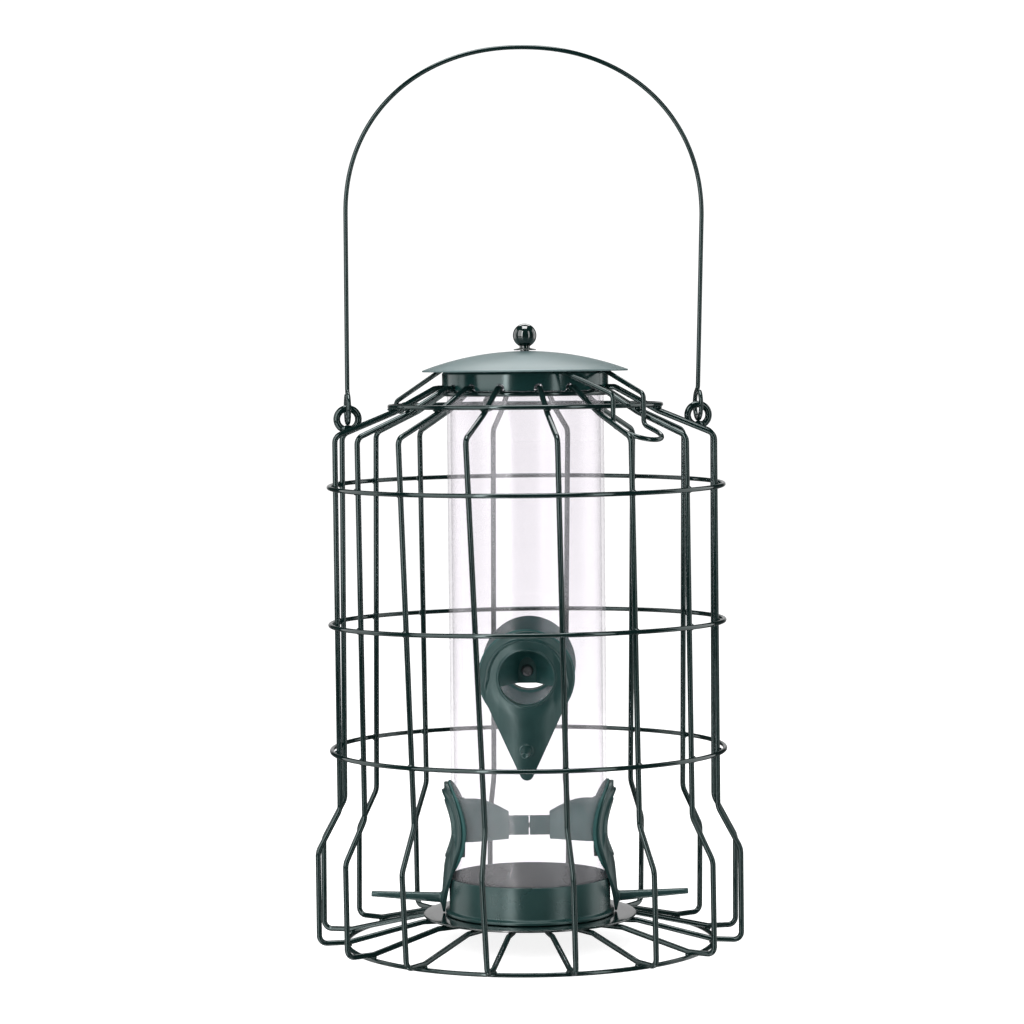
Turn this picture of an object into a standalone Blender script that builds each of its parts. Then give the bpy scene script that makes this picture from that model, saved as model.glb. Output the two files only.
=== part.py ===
"""Squirrel proof bird feeder: a clear seed tube that hangs inside a cage of welded wire.

Sixteen bent wires run from the neck over the shoulder, down the body, out over a skirt and in
under the base plate. Hoops and rings tie them together. The tube stands in a cup on the base
plate and has four feeding ports, each a hood inside the tube and a perch plate outside it. The
lid is a cap and a dome on a stud, hinged by a bent latch wire, and a bail hangs from two eyelets.

Lengths are in metres and +Z is up. The origin is on the ground under the tube's axis. Azimuths
are in degrees from the front (-Y) towards +X.
"""
import math

import bmesh
import bpy
from mathutils import Matrix, Vector

# Fits shared by all pieces
GAP = 0.0003  # clearance between pieces that touch
SINK = 0.0005  # how far a shape runs into the one that it is fused with
OVERRUN = 0.004  # how far a cutting shape runs past what it cuts
MERGE_DISTANCE = 0.00002  # points closer than this become one after a cut or a join

# Cage wires, from the neck down to the spokes
WIRE_COUNT = 16
WIRE_DIA = 0.0024
NECK_HEIGHT = 0.2448
NECK_RADIUS = 0.040
NECK_END_CLEARANCE = 0.00085
BREAK_RADIUS = 0.0595
BREAK_HEIGHT = 0.2342
SHOULDER_HEIGHT = 0.2243
BODY_RADIUS = 0.0840
WAIST_HEIGHT = 0.0617
SKIRT_HEIGHT = 0.0435
SKIRT_RADIUS = 0.0940
SPOKE_RISE_CLEARANCE = 0.0011
SPOKE_END_RADIUS = 0.0370
NECK_BEND = 0.003
SHOULDER_BEND = 0.004
WAIST_BEND = 0.008
FOOT_BEND = 0.0035
WIRE_LEAN_DEG = -2.5
ODD_LEANS_DEG = {8: -1.2, 9: 1.5, 14: -5.9, 15: -6.2}

# Hoops and rings: wire diameters, places and the slight tilts of a hand-welded cage
HOOP_DIA = 0.0020
UPPER_HOOP_DROP = 0.0223
LOWER_HOOP_RISE = 0.0243
MIDDLE_HOOP_SHARE = 0.482
HOOP_TILTS_DEG = {"hoop_upper": (0.6, 0.0), "hoop_middle": (-0.9, -0.3), "hoop_lower": (-0.6, 0.0)}
NECK_RING_RADIUS = 0.0360
BASE_RING_RADIUS = 0.0810
BASE_RING_DIA = 0.0021

# Eyelets and bail
EYELET_WIRE = 4
EYELET_RADIUS = 0.0780
EYELET_HEIGHT = 0.2318
EYELET_HOLE_DIA = 0.0064
EYELET_BAR_DIA = 0.00305
BAIL_DIA = 0.0020
BAIL_EYE_RADIUS = 0.0065
BAIL_EYE_GAP_DEG = 28.0
BAIL_TURN_RADIUS = 0.0022
BAIL_SPAN_RADIUS = 0.0790
BAIL_SPRING_HEIGHT = 0.3205
BAIL_ARCH_RISE = 0.0729
BAIL_FULLNESS_SHARE = 0.94
BAIL_SWAY = 0.0012
BAIL_ARCH_STEPS = 16

# Base plate and seed cup
PLATE_DIA = 0.0938
PLATE_THICKNESS = 0.0009
PLATE_HEIGHT = 0.0123
PLATE_EDGE_ROUND = 0.0003
CUP_WALL = 0.0008
CUP_FLOOR = 0.0010
CUP_SADDLE_CLEARANCE = 0.0004
CUP_FOOT_DIA = 0.0744
CUP_FOOT_HEIGHT = 0.0020
CUP_FOOT_SLOPE = 0.0008

# Seed tube
TUBE_DIA = 0.0689
TUBE_WALL = 0.0015
TUBE_TOP_HEIGHT = 0.2480

# Ports: places, then the hood, then the plate with its perch
UPPER_PORT_HEIGHT = 0.1205
LOWER_PORT_HEIGHT = 0.0510
UPPER_PORT_TURN_DEG = -1.5
SADDLE_DIA = 0.0420
SADDLE_THICKNESS = 0.0008
COLLAR_BORE_DIA = 0.0240
COLLAR_WALL = 0.0012
COLLAR_END_REACH = 0.0285
HOOD_WALL = 0.0010
HOOD_END_REACH = 0.0090
HOOD_MOUTH_REACH = 0.0295
HOOD_CREST_REACH = 0.0250
HOOD_END_ROOF = 0.0070
HOOD_END_HALF_WIDTH = 0.0044
HOOD_LOWER_EDGE = 0.0047
HOOD_INSET = 0.0005
STRAP_HEIGHT = 0.0081
STRAP_THICKNESS = 0.0050
STRAP_RISE = 0.0008
STRAP_SPLIT = 0.00044
SCREW_DIA = 0.0024
SCREW_HEAD_DIA = 0.0050
SCREW_HEAD_HEIGHT = 0.0015
PORT_PLATE_DIA = 0.0394
PORT_PLATE_THICKNESS = 0.0021
PORT_PLATE_THINNING = 0.0010
PORT_PLATE_TIP_DIA = 0.0058
PORT_PLATE_TIP_THICKNESS = 0.0009
PORT_PLATE_TONGUE = 0.0040
PORT_PLATE_OPENING_DIA = 0.0238
PORT_PLATE_LIP = 0.0003
PORT_PLATE_LIP_WIDTH = 0.0006
PORT_PLATE_BAND_WIDTH = 0.0031
PORT_PLATE_BAND_STEP = 0.0005
PORT_PLATE_BAND_FADE = 0.0090
PORT_PLATE_SLOPE = 0.0005
UPPER_PLATE_REACH = 0.0441
LEAN_START_DROP = 0.0180
PERCH_DROP = 0.0310
PERCH_LENGTH = 0.0310
PERCH_ROOT_DIA = 0.0046
PERCH_TIP_WIDTH = 0.0030
PERCH_TIP_HEIGHT = 0.0025
PERCH_RISE_DEG = 3.5

# Lid: cap, dome, knob, nut and latch wire
CAP_DIA = 0.0730
CAP_THICKNESS = 0.0006
CAP_HEIGHT = 0.00815
CAP_EDGE_ROUND = 0.0010
NOTCH_SIDE_CLEARANCE = 0.0009
NOTCH_RISE = 0.0005
DOME_DIA = 0.0904
DOME_RISE = 0.0083
DOME_THICKNESS = 0.0008
DOME_STANDOFF = 0.0005
KNOB_BALL_DIA = 0.0104
KNOB_NECK_DIA = 0.0046
KNOB_NECK_HEIGHT = 0.0004
KNOB_FOOT_DIA = 0.0098
KNOB_FOOT_HEIGHT = 0.0009
KNOB_FOOT_EDGE = 0.0003
STUD_DIA = 0.0040
STUD_END = 0.0010
NUT_WIDTH = 0.0070
NUT_HEIGHT = 0.0032
LATCH_DIA = 0.0021
LATCH_EYE_RADIUS = 0.00265
LATCH_EYE_TURN_DEG = 270.0
LATCH_AZIMUTH_DEG = 42.7
LATCH_HINGE_SPREAD_DEG = 26.75
LATCH_LEG_RADIUS = 0.0647
LATCH_LEG_SPREAD_DEG = 8.1
LATCH_LEG_TOP = 0.2420
LATCH_LEG_BOTTOM = 0.2290
LATCH_TAB_REACH = 0.0160
LATCH_TAB_DROP = 0.0060
LATCH_BEND = 0.003

# Smoothness
RING_SEGMENTS = 32
SMALL_RING_SEGMENTS = 20
TURNED_SEGMENTS = 32
KNOB_SEGMENTS = 16
EYE_SEGMENTS = 12
HOLE_SEGMENTS = 18
BEND_STEP_DEG = 45.0
ROD_SIDES = 12
SCREW_SIDES = 10
HOOD_STEPS = 4
HOOD_ARCH_STEPS = 7
PLATE_CROWN_STEPS = 13
PLATE_FLANK_STEPS = 3
PLATE_TIP_STEPS = 3
DOME_STEPS = 5
KNOB_STEPS = 6
KNOB_CROWN_DEG = 68.0
NUT_SIDES = 6
NOTCH_STEPS = 4
LATCH_EYE_STEPS = 10
LATCH_TAB_STEPS = 3
LATCH_TAB_START_DEG = 67.5
SMOOTH_ANGLE_DEG = 35.0

# Sizes that follow from the ones above
WIRE_RADIUS = WIRE_DIA / 2
HOOP_WIRE_RADIUS = HOOP_DIA / 2
TUBE_RADIUS = TUBE_DIA / 2
CUP_INNER_RADIUS = TUBE_RADIUS + GAP
CUP_OUTER_RADIUS = CUP_INNER_RADIUS + CUP_WALL
CUP_BOTTOM = PLATE_HEIGHT + PLATE_THICKNESS + GAP
CUP_RIM_HEIGHT = LOWER_PORT_HEIGHT - SADDLE_DIA / 2 - CUP_SADDLE_CLEARANCE
BASE_RING_FLAT = BASE_RING_DIA / 2 * math.cos(math.pi / 6)
FOOT_HEIGHT = 2 * BASE_RING_FLAT + GAP + WIRE_RADIUS
SPOKE_HEIGHT = PLATE_HEIGHT - GAP - WIRE_RADIUS
WELD_SPACING = WIRE_RADIUS + GAP + HOOP_WIRE_RADIUS
NECK_SLOPE = math.atan2(NECK_HEIGHT - BREAK_HEIGHT, BREAK_RADIUS - NECK_RADIUS)
SHOULDER_RING_HEIGHT = BREAK_HEIGHT + WELD_SPACING / math.cos(NECK_SLOPE)
NECK_RING_HEIGHT = NECK_HEIGHT - WELD_SPACING
SADDLE_INNER_RADIUS = TUBE_RADIUS + GAP
SADDLE_OUTER_RADIUS = SADDLE_INNER_RADIUS + SADDLE_THICKNESS
COLLAR_RADIUS = COLLAR_BORE_DIA / 2 + COLLAR_WALL
BAIL_OFFSET = WIRE_RADIUS + GAP + EYELET_BAR_DIA / 2
EYELET_LINE_RADIUS = (EYELET_HOLE_DIA + EYELET_BAR_DIA) / 2
BAIL_PIVOT_HEIGHT = EYELET_HEIGHT + EYELET_LINE_RADIUS
CAP_BOTTOM = NECK_RING_HEIGHT + HOOP_WIRE_RADIUS + GAP
CAP_TOP = CAP_BOTTOM + CAP_HEIGHT
LATCH_HEIGHT = CAP_TOP + GAP + LATCH_DIA / 2
DOME_CURVE = ((DOME_DIA / 2) ** 2 + DOME_RISE ** 2) / (2 * DOME_RISE)


# Materials

def paint(name, color, roughness, metallic=0.0, transmission=0.0):
    """A Principled material with one plain colour."""
    made = bpy.data.materials.new(name)
    made.use_nodes = True
    shader = made.node_tree.nodes["Principled BSDF"]
    shader.inputs["Base Color"].default_value = (*color, 1.0)
    shader.inputs["Roughness"].default_value = roughness
    shader.inputs["Metallic"].default_value = metallic
    shader.inputs["Transmission Weight"].default_value = transmission
    made.diffuse_color = (*color, 1.0)
    return made


# Geometry helpers

def polar(azimuth_deg, radius, height):
    """Point at an azimuth from the front, a distance from the axis and a height."""
    azimuth = math.radians(azimuth_deg)
    return Vector((radius * math.sin(azimuth), -radius * math.cos(azimuth), height))


def arc(center, radius, start_deg, end_deg, steps):
    """Points of a flat arc, as (across, up) pairs, with the angle measured from +across."""
    angles = [math.radians(start_deg + (end_deg - start_deg) * i / steps) for i in range(steps + 1)]
    return [(center[0] + radius * math.cos(a), center[1] + radius * math.sin(a)) for a in angles]


def rounded_path(corners, bends):
    """Path through corners, where each inner corner is replaced by an arc of its bend radius."""
    points = [corners[0]]
    for before, corner, after, bend in zip(corners, corners[1:], corners[2:], bends):
        if bend == 0:
            points.append(corner)
            continue
        back = (before - corner).normalized()
        onward = (after - corner).normalized()
        half = back.angle(onward) / 2
        steps = math.ceil((180 - math.degrees(2 * half)) / BEND_STEP_DEG)
        center = corner + (back + onward).normalized() * (bend / math.sin(half))
        first = corner + back * (bend / math.tan(half)) - center
        last = corner + onward * (bend / math.tan(half)) - center
        points += [center + first.slerp(last, i / steps, first) * bend for i in range(steps + 1)]
    return points + [corners[-1]]


def finish(name, data, material, origin=None):
    """Named object for a curve or mesh, with its material and its origin moved to a point."""
    made = bpy.data.objects.new(name, data)
    bpy.context.collection.objects.link(made)
    if not data.materials:
        data.materials.append(material)
    if origin is not None:
        data.transform(Matrix.Translation(-origin))
        made.location = origin
    return made


def bent_wire(name, points, diameter, material, cyclic=False, origin=None):
    """Round wire of one diameter along a path, with flat ends or closed into a ring."""
    data = bpy.data.curves.new(name, "CURVE")
    data.dimensions = "3D"
    data.twist_mode = "Z_UP" if cyclic else "MINIMUM"
    data.bevel_depth = diameter / 2
    data.bevel_resolution = 1
    data.use_fill_caps = True
    line = data.splines.new("POLY")
    line.points.add(len(points) - 1)
    for spot, point in zip(line.points, points):
        spot.co = (*point, 1.0)
    line.use_cyclic_u = cyclic
    line.use_smooth = True
    return finish(name, data, material, origin)


def ring_points(radius, height, segments):
    """Corners of a level ring whose straight sides stay outside the given radius."""
    corner = radius / math.cos(math.pi / segments)
    return [polar(360 * i / segments, corner, height) for i in range(segments)]


def mesh_from(bm, name):
    """Mesh of a finished bmesh, with its faces turned outwards and its round faces smooth."""
    bmesh.ops.recalc_face_normals(bm, faces=bm.faces)
    data = bpy.data.meshes.new(name)
    bm.to_mesh(data)
    bm.free()
    data.shade_smooth()
    data.set_sharp_from_angle(angle=math.radians(SMOOTH_ANGLE_DEG))
    return data


def turned(name, profile, segments=TURNED_SEGMENTS):
    """Mesh of a closed (radius, height) profile turned about Z; points on the axis become one."""
    bm = bmesh.new()
    rings = []
    for radius, height in profile:
        count = 1 if radius == 0 else segments
        rings.append([bm.verts.new(polar(360 * i / segments, radius, height)) for i in range(count)])
    for ring, following in zip(rings, rings[1:] + rings[:1]):
        for i in range(segments):
            j = (i + 1) % segments
            corners = [ring[i % len(ring)], ring[j % len(ring)]]
            corners += [following[j % len(following)], following[i % len(following)]]
            unique = list(dict.fromkeys(corners))
            if len(unique) > 2:
                bm.faces.new(unique)
    return mesh_from(bm, name)


def lofted(name, sections, closed=False):
    """Mesh skinned over sections of equal point count, capped at the ends or closed into a ring."""
    bm = bmesh.new()
    loops = [[bm.verts.new(point) for point in section] for section in sections]
    pairs = list(zip(loops, loops[1:]))
    if closed:
        pairs.append((loops[-1], loops[0]))
    else:
        bm.faces.new(loops[0])
        bm.faces.new(loops[-1])
    for loop, following in pairs:
        for i in range(len(loop)):
            j = (i + 1) % len(loop)
            bm.faces.new((loop[i], loop[j], following[j], following[i]))
    return mesh_from(bm, name)


def box(name, low, high):
    """Mesh of an upright box between two corners."""
    faces = [[Vector((x, y, z)) for y, z in ((low[1], low[2]), (high[1], low[2]),
                                              (high[1], high[2]), (low[1], high[2]))]
             for x in (low[0], high[0])]
    return lofted(name, faces)


def rod(name, start, end, radius, end_radius=None, flat=1.0, sides=ROD_SIDES):
    """Mesh of a round rod along X; it may taper, and its far end may be flattened in height."""
    sections = []
    for reach, size, squash in ((start, radius, 1.0), (end, end_radius or radius, flat)):
        circle = arc((0, 0), size, 0, 360 - 360 / sides, sides - 1)
        sections.append([Vector((reach, across, up * squash)) for across, up in circle])
    return lofted(name, sections)


def combined(name, base, tools):
    """Mesh of a base after Boolean steps, each a pair of an operation and a tool mesh."""
    body = bpy.data.objects.new(name, base)
    bpy.context.collection.objects.link(body)
    helpers = []
    for operation, mesh in tools:
        helper = bpy.data.objects.new(name, mesh)
        bpy.context.collection.objects.link(helper)
        helpers.append(helper)
        step = body.modifiers.new(operation, "BOOLEAN")
        step.operation = operation
        step.object = helper
        clean = body.modifiers.new("clean", "WELD")
        clean.merge_threshold = MERGE_DISTANCE
    depsgraph = bpy.context.evaluated_depsgraph_get()
    result = bpy.data.meshes.new_from_object(body.evaluated_get(depsgraph))
    result.name = name
    for spare in helpers + [body]:
        bpy.data.objects.remove(spare)
    result.materials.clear()
    result.shade_smooth()
    result.set_sharp_from_angle(angle=math.radians(SMOOTH_ANGLE_DEG))
    return result


# Cage

def wire_azimuth(index, height):
    """Azimuth of a cage wire at a height: even spacing at the foot, then a lean that grows evenly."""
    foot = 360 / WIRE_COUNT * (index + 0.5)
    share = (height - FOOT_HEIGHT) / (SHOULDER_HEIGHT - FOOT_HEIGHT)
    return foot + ODD_LEANS_DEG.get(index, WIRE_LEAN_DEG) * min(max(share, 0.0), 1.0)


def make_cage_wires(material):
    """The sixteen bent wires, from the neck to the spokes."""
    profile = [
        (TUBE_RADIUS + NECK_END_CLEARANCE, NECK_HEIGHT), (NECK_RADIUS, NECK_HEIGHT),
        (BREAK_RADIUS, BREAK_HEIGHT), (BODY_RADIUS, SHOULDER_HEIGHT),
        (BODY_RADIUS, WAIST_HEIGHT), (SKIRT_RADIUS, SKIRT_HEIGHT),
        (SKIRT_RADIUS, FOOT_HEIGHT), (BASE_RING_RADIUS, FOOT_HEIGHT),
        (PLATE_DIA / 2 + SPOKE_RISE_CLEARANCE, SPOKE_HEIGHT), (SPOKE_END_RADIUS, SPOKE_HEIGHT)]
    bends = [NECK_BEND, 0, SHOULDER_BEND, WAIST_BEND, WAIST_BEND, FOOT_BEND, 0, 0]
    for index in range(WIRE_COUNT):
        corners = [polar(wire_azimuth(index, height), radius, height) for radius, height in profile]
        points = rounded_path(corners, bends)
        bent_wire(f"cage_wire_{index + 1:02d}", points, WIRE_DIA, material)


def make_rings(material):
    """Body hoops outside the wires, shoulder ring on top, neck ring and base ring beneath."""
    hoop_radius = BODY_RADIUS + WELD_SPACING
    upper = SHOULDER_HEIGHT - UPPER_HOOP_DROP
    lower = WAIST_HEIGHT + LOWER_HOOP_RISE
    middle = lower + (upper - lower) * MIDDLE_HOOP_SHARE
    for name, height in (("hoop_upper", upper), ("hoop_middle", middle), ("hoop_lower", lower)):
        hoop = bent_wire(name, ring_points(hoop_radius, 0, RING_SEGMENTS), HOOP_DIA, material, cyclic=True)
        tilt_x, tilt_y = HOOP_TILTS_DEG[name]
        hoop.rotation_euler = (math.radians(tilt_x), math.radians(tilt_y), 0)
        hoop.location.z = height
    shoulder = ring_points(BREAK_RADIUS, SHOULDER_RING_HEIGHT, RING_SEGMENTS)
    bent_wire("shoulder_ring", shoulder, HOOP_DIA, material, cyclic=True)
    neck = ring_points(NECK_RING_RADIUS, NECK_RING_HEIGHT, SMALL_RING_SEGMENTS)
    bent_wire("neck_ring", neck, HOOP_DIA, material, cyclic=True)
    base = ring_points(BASE_RING_RADIUS, BASE_RING_FLAT, RING_SEGMENTS)
    bent_wire("base_ring", base, BASE_RING_DIA, material, cyclic=True)


def bail_frame():
    """Pivot centre of the bail, and the directions along its hinge and square to it."""
    azimuth = wire_azimuth(EYELET_WIRE, SHOULDER_HEIGHT)
    along = polar(azimuth, 1, 0)
    square = polar(azimuth + 90, 1, 0)
    return square * BAIL_OFFSET + Vector((0, 0, BAIL_PIVOT_HEIGHT)), along, square


def make_eyelets(material):
    """Two small upright rings, welded beside opposite shoulder wires on their rear side."""
    pivot, along, _ = bail_frame()
    for name, side in (("eyelet_right", 1), ("eyelet_left", -1)):
        center = Vector((pivot.x, pivot.y, EYELET_HEIGHT)) + along * (EYELET_RADIUS * side)
        circle = arc((0, 0), EYELET_LINE_RADIUS, 0, 360 - 360 / EYE_SEGMENTS, EYE_SEGMENTS - 1)
        points = [center + along * across + Vector((0, 0, up)) for across, up in circle]
        bent_wire(name, points, EYELET_BAR_DIA, material, cyclic=True)


def make_bail(material):
    """Carrying bail: a round arch on two legs, each ending in an eye that links an eyelet."""
    pivot, along, square = bail_frame()
    top = BAIL_SPRING_HEIGHT - BAIL_PIVOT_HEIGHT
    arch = []
    for step in range(1, BAIL_ARCH_STEPS):
        angle = math.pi * step / BAIL_ARCH_STEPS
        across = math.copysign(abs(math.cos(angle)) ** BAIL_FULLNESS_SHARE, math.cos(angle))
        up = math.sin(angle) ** BAIL_FULLNESS_SHARE
        arch.append((BAIL_SPAN_RADIUS * across + BAIL_SWAY, 0, top + BAIL_ARCH_RISE * up))
    ends = []
    for side in (1, -1):
        leg = EYELET_RADIUS * side
        spring = Vector((BAIL_SPAN_RADIUS * side + BAIL_SWAY, 0, top))
        shoulder = Vector((leg, 0, BAIL_EYE_RADIUS))
        beside = Vector((leg, BAIL_EYE_RADIUS * side, BAIL_EYE_RADIUS))
        turn = rounded_path([spring, shoulder, beside], [BAIL_TURN_RADIUS])[:-1]
        start = math.degrees(BAIL_TURN_RADIUS / BAIL_EYE_RADIUS)
        circle = arc((0, 0), BAIL_EYE_RADIUS, 90 - start, BAIL_EYE_GAP_DEG - 270, EYE_SEGMENTS)
        ends.append(turn[:-1] + [Vector((leg, across * side, up)) for across, up in circle])
    line = list(reversed(ends[0])) + arch + ends[1]
    points = [pivot + along * a + square * b + Vector((0, 0, c)) for a, b, c in line]
    bent_wire("bail", points, BAIL_DIA, material, origin=pivot)


# Base and tube

def make_base(material):
    """Round plate on the spokes, and the seed cup with its stepped foot."""
    low = PLATE_HEIGHT
    high = PLATE_HEIGHT + PLATE_THICKNESS
    rim = PLATE_DIA / 2
    edge = PLATE_EDGE_ROUND
    outline = [(0, low), (rim - edge, low), (rim, low + edge)]
    outline += [(rim, high - edge), (rim - edge, high), (0, high)]
    finish("base_plate", turned("base_plate", outline), material)
    foot = CUP_FOOT_DIA / 2
    step = CUP_BOTTOM + CUP_FOOT_HEIGHT
    floor = CUP_BOTTOM + CUP_FLOOR
    wall = [(0, CUP_BOTTOM), (foot, CUP_BOTTOM), (foot, step - CUP_FOOT_SLOPE), (CUP_OUTER_RADIUS, step)]
    rim = arc((CUP_INNER_RADIUS + CUP_WALL / 2, CUP_RIM_HEIGHT - CUP_WALL / 2), CUP_WALL / 2, 0, 180, 2)
    inside = [(CUP_INNER_RADIUS, floor), (0, floor)]
    finish("seed_cup", turned("seed_cup", wall + rim + inside), material)


def port_places():
    """Name, azimuth and height of each port: front and back above, left and right below."""
    return [("front", UPPER_PORT_TURN_DEG, UPPER_PORT_HEIGHT),
            ("back", UPPER_PORT_TURN_DEG + 180, UPPER_PORT_HEIGHT),
            ("right", 90, LOWER_PORT_HEIGHT), ("left", -90, LOWER_PORT_HEIGHT)]


def port_matrix(azimuth_deg, height):
    """Place of a port: local X points outwards and the local origin is on the tube's axis."""
    return Matrix.Translation((0, 0, height)) @ Matrix.Rotation(math.radians(azimuth_deg - 90), 4, "Z")


def make_tube(material):
    """Clear tube that stands in the cup, with a round hole for each port's collar."""
    inner = TUBE_RADIUS - TUBE_WALL
    bottom = CUP_BOTTOM + CUP_FLOOR + GAP
    outline = [(TUBE_RADIUS, TUBE_TOP_HEIGHT), (inner, TUBE_TOP_HEIGHT)]
    outline += [(inner, bottom), (TUBE_RADIUS, bottom)]
    hole_radius = (COLLAR_RADIUS + GAP) / math.cos(math.pi / HOLE_SEGMENTS)
    holes = []
    for name, azimuth, height in port_places():
        hole = rod(name, inner / 2, TUBE_RADIUS + OVERRUN, hole_radius, sides=HOLE_SEGMENTS)
        hole.transform(port_matrix(azimuth, height))
        holes.append(("DIFFERENCE", hole))
    finish("tube", combined("tube", turned("tube", outline), holes), material)


# Ports

def on_cylinder(radius, across, up):
    """Point of a port at a distance across and up, on a cylinder round the tube's axis."""
    return Vector((math.sqrt(radius ** 2 - across ** 2), across, up))


def saddle_mesh():
    """Round flange on the tube's outer face, with the collar that runs in through its wall."""
    bore = COLLAR_BORE_DIA / 2
    rim = SADDLE_DIA / 2
    sections = []
    for across, up in arc((0, 0), 1, 0, 360 - 360 / SMALL_RING_SEGMENTS, SMALL_RING_SEGMENTS - 1):
        ring = [(bore, SADDLE_OUTER_RADIUS), (rim, SADDLE_OUTER_RADIUS),
                (rim, SADDLE_INNER_RADIUS), ((COLLAR_RADIUS + rim) / 2, SADDLE_INNER_RADIUS),
                (COLLAR_RADIUS, SADDLE_INNER_RADIUS)]
        section = [on_cylinder(radius, size * across, size * up) for size, radius in ring]
        section += [Vector((COLLAR_END_REACH, size * across, size * up)) for size in (COLLAR_RADIUS, bore)]
        sections.append(section)
    return lofted("saddle", sections, closed=True)


def hood_section(reach, inset, lower_edge):
    """Cross-section of the hood: straight sides under a half ellipse, which shrink to the strap."""
    share = min((reach - HOOD_END_REACH) / (HOOD_CREST_REACH - HOOD_END_REACH), 1.0)
    mouth = COLLAR_RADIUS - HOOD_INSET
    width = HOOD_END_HALF_WIDTH + (mouth - HOOD_END_HALF_WIDTH) * share - inset
    roof = HOOD_END_ROOF + (mouth - HOOD_END_ROOF) * math.sin(math.pi / 2 * share) - inset
    arch = [(width * a, roof * b) for a, b in arc((0, 0), 1, 0, 180, HOOD_ARCH_STEPS)]
    outline = arch + [(-width, -lower_edge), (width, -lower_edge)]
    return [Vector((reach, across, up)) for across, up in outline]


def hood_form(start, end, inset, lower_edge):
    """Solid form of the hood from its narrow end to its mouth, drawn in by an inset."""
    reaches = [start + (HOOD_CREST_REACH - start) * i / HOOD_STEPS for i in range(HOOD_STEPS + 1)]
    return lofted("hood_form", [hood_section(reach, inset, lower_edge) for reach in reaches + [end]])


def hood_mesh():
    """Saddle, collar, open-bottomed hood and strap as one moulding with a bore for its screw."""
    start = HOOD_END_REACH + HOOD_WALL
    outer = hood_form(HOOD_END_REACH, HOOD_MOUTH_REACH, 0, HOOD_LOWER_EDGE)
    inner = hood_form(start, HOOD_MOUTH_REACH + OVERRUN, HOOD_WALL, HOOD_LOWER_EDGE + OVERRUN)
    shell = combined("shell", outer, [("DIFFERENCE", inner)])
    strap = box("strap", (STRAP_SPLIT / 2, -STRAP_THICKNESS / 2, STRAP_RISE - STRAP_HEIGHT / 2),
                (HOOD_END_REACH + SINK, STRAP_THICKNESS / 2, STRAP_RISE + STRAP_HEIGHT / 2))
    bore = rod("bore", -OVERRUN, start + OVERRUN, SCREW_DIA / 2 + GAP, sides=SCREW_SIDES)
    bore.transform(Matrix.Translation((0, 0, STRAP_RISE)))
    return combined("port_hood", shell, [("UNION", saddle_mesh()), ("UNION", strap), ("DIFFERENCE", bore)])


def teardrop(reach):
    """Matching (across, up) points of the opening and of the teardrop outline, going round once."""
    big = PORT_PLATE_DIA / 2
    small = PORT_PLATE_TIP_DIA / 2
    opening = PORT_PLATE_OPENING_DIA / 2
    slant = math.degrees(math.asin((big - small) / (reach - small)))
    crown = [Vector(point) for point in arc((0, 0), big, -slant, 180 + slant, PLATE_CROWN_STEPS)]
    tip = arc((0, small - reach), small, 180 + slant, 360 - slant, PLATE_TIP_STEPS)
    tip = [Vector(point) for point in tip]
    shares = [i / PLATE_FLANK_STEPS for i in range(1, PLATE_FLANK_STEPS)]
    left = [crown[-1].lerp(tip[0], share) for share in shares]
    right = [tip[-1].lerp(crown[0], share) for share in shares]
    outline = crown + left + tip + right
    upper = arc((0, 0), opening, -slant, 180 + slant, PLATE_CROWN_STEPS)
    lower = arc((0, 0), opening, 180 + slant, 360 - slant, len(outline) - len(upper) + 1)
    return list(zip([Vector(point) for point in upper + lower[1:-1]], outline))


def plate_section(inner, outer, reach, lean):
    """Section of the port plate: a lip round its opening, its face, and a band that lies lower
    along the crown's edge and runs out down the flanks."""
    span = (outer - inner).length
    back = SADDLE_OUTER_RADIUS + GAP
    foot = PORT_PLATE_LIP_WIDTH + PORT_PLATE_SLOPE
    fade = min(max(1 + outer.y / PORT_PLATE_BAND_FADE, 0.0), 1.0)
    edge = PORT_PLATE_SLOPE + (PORT_PLATE_BAND_WIDTH - PORT_PLATE_SLOPE) * fade
    drop = PORT_PLATE_BAND_STEP * fade
    front = [(0, PORT_PLATE_LIP), (PORT_PLATE_LIP_WIDTH, PORT_PLATE_LIP), (foot, 0)]
    front += [(span - edge - PORT_PLATE_SLOPE, 0), (span - edge, -drop), (span, -drop)]
    section = []
    for distance, rise in front:
        spot = inner.lerp(outer, distance / span)
        radius = back + plate_thickness(spot.x, spot.y, reach) + rise
        section.append(on_cylinder(radius, spot.x, spot.y))
    section += [on_cylinder(back, *spot) for spot in (outer, (inner + outer) / 2, inner)]
    for point in section:
        point.x += plate_lean(point.z, reach, lean)
    return section


def plate_thickness(across, up, reach):
    """Thickness of the port plate: greatest along its middle, less at its flanks and its tip."""
    tongue = min((up + reach) / PORT_PLATE_TONGUE, 1.0)
    flank = min((2 * across / PORT_PLATE_OPENING_DIA) ** 2, 1.0)
    full = PORT_PLATE_THICKNESS - PORT_PLATE_THINNING * flank
    return PORT_PLATE_TIP_THICKNESS + (full - PORT_PLATE_TIP_THICKNESS) * tongue


def plate_lean(up, reach, lean):
    """How far the port plate stands off the cylinder at a height, growing from its waist to its tip."""
    share = (-up - LEAN_START_DROP) / (reach - LEAN_START_DROP)
    return lean * min(max(share, 0.0), 1.0)


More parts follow.
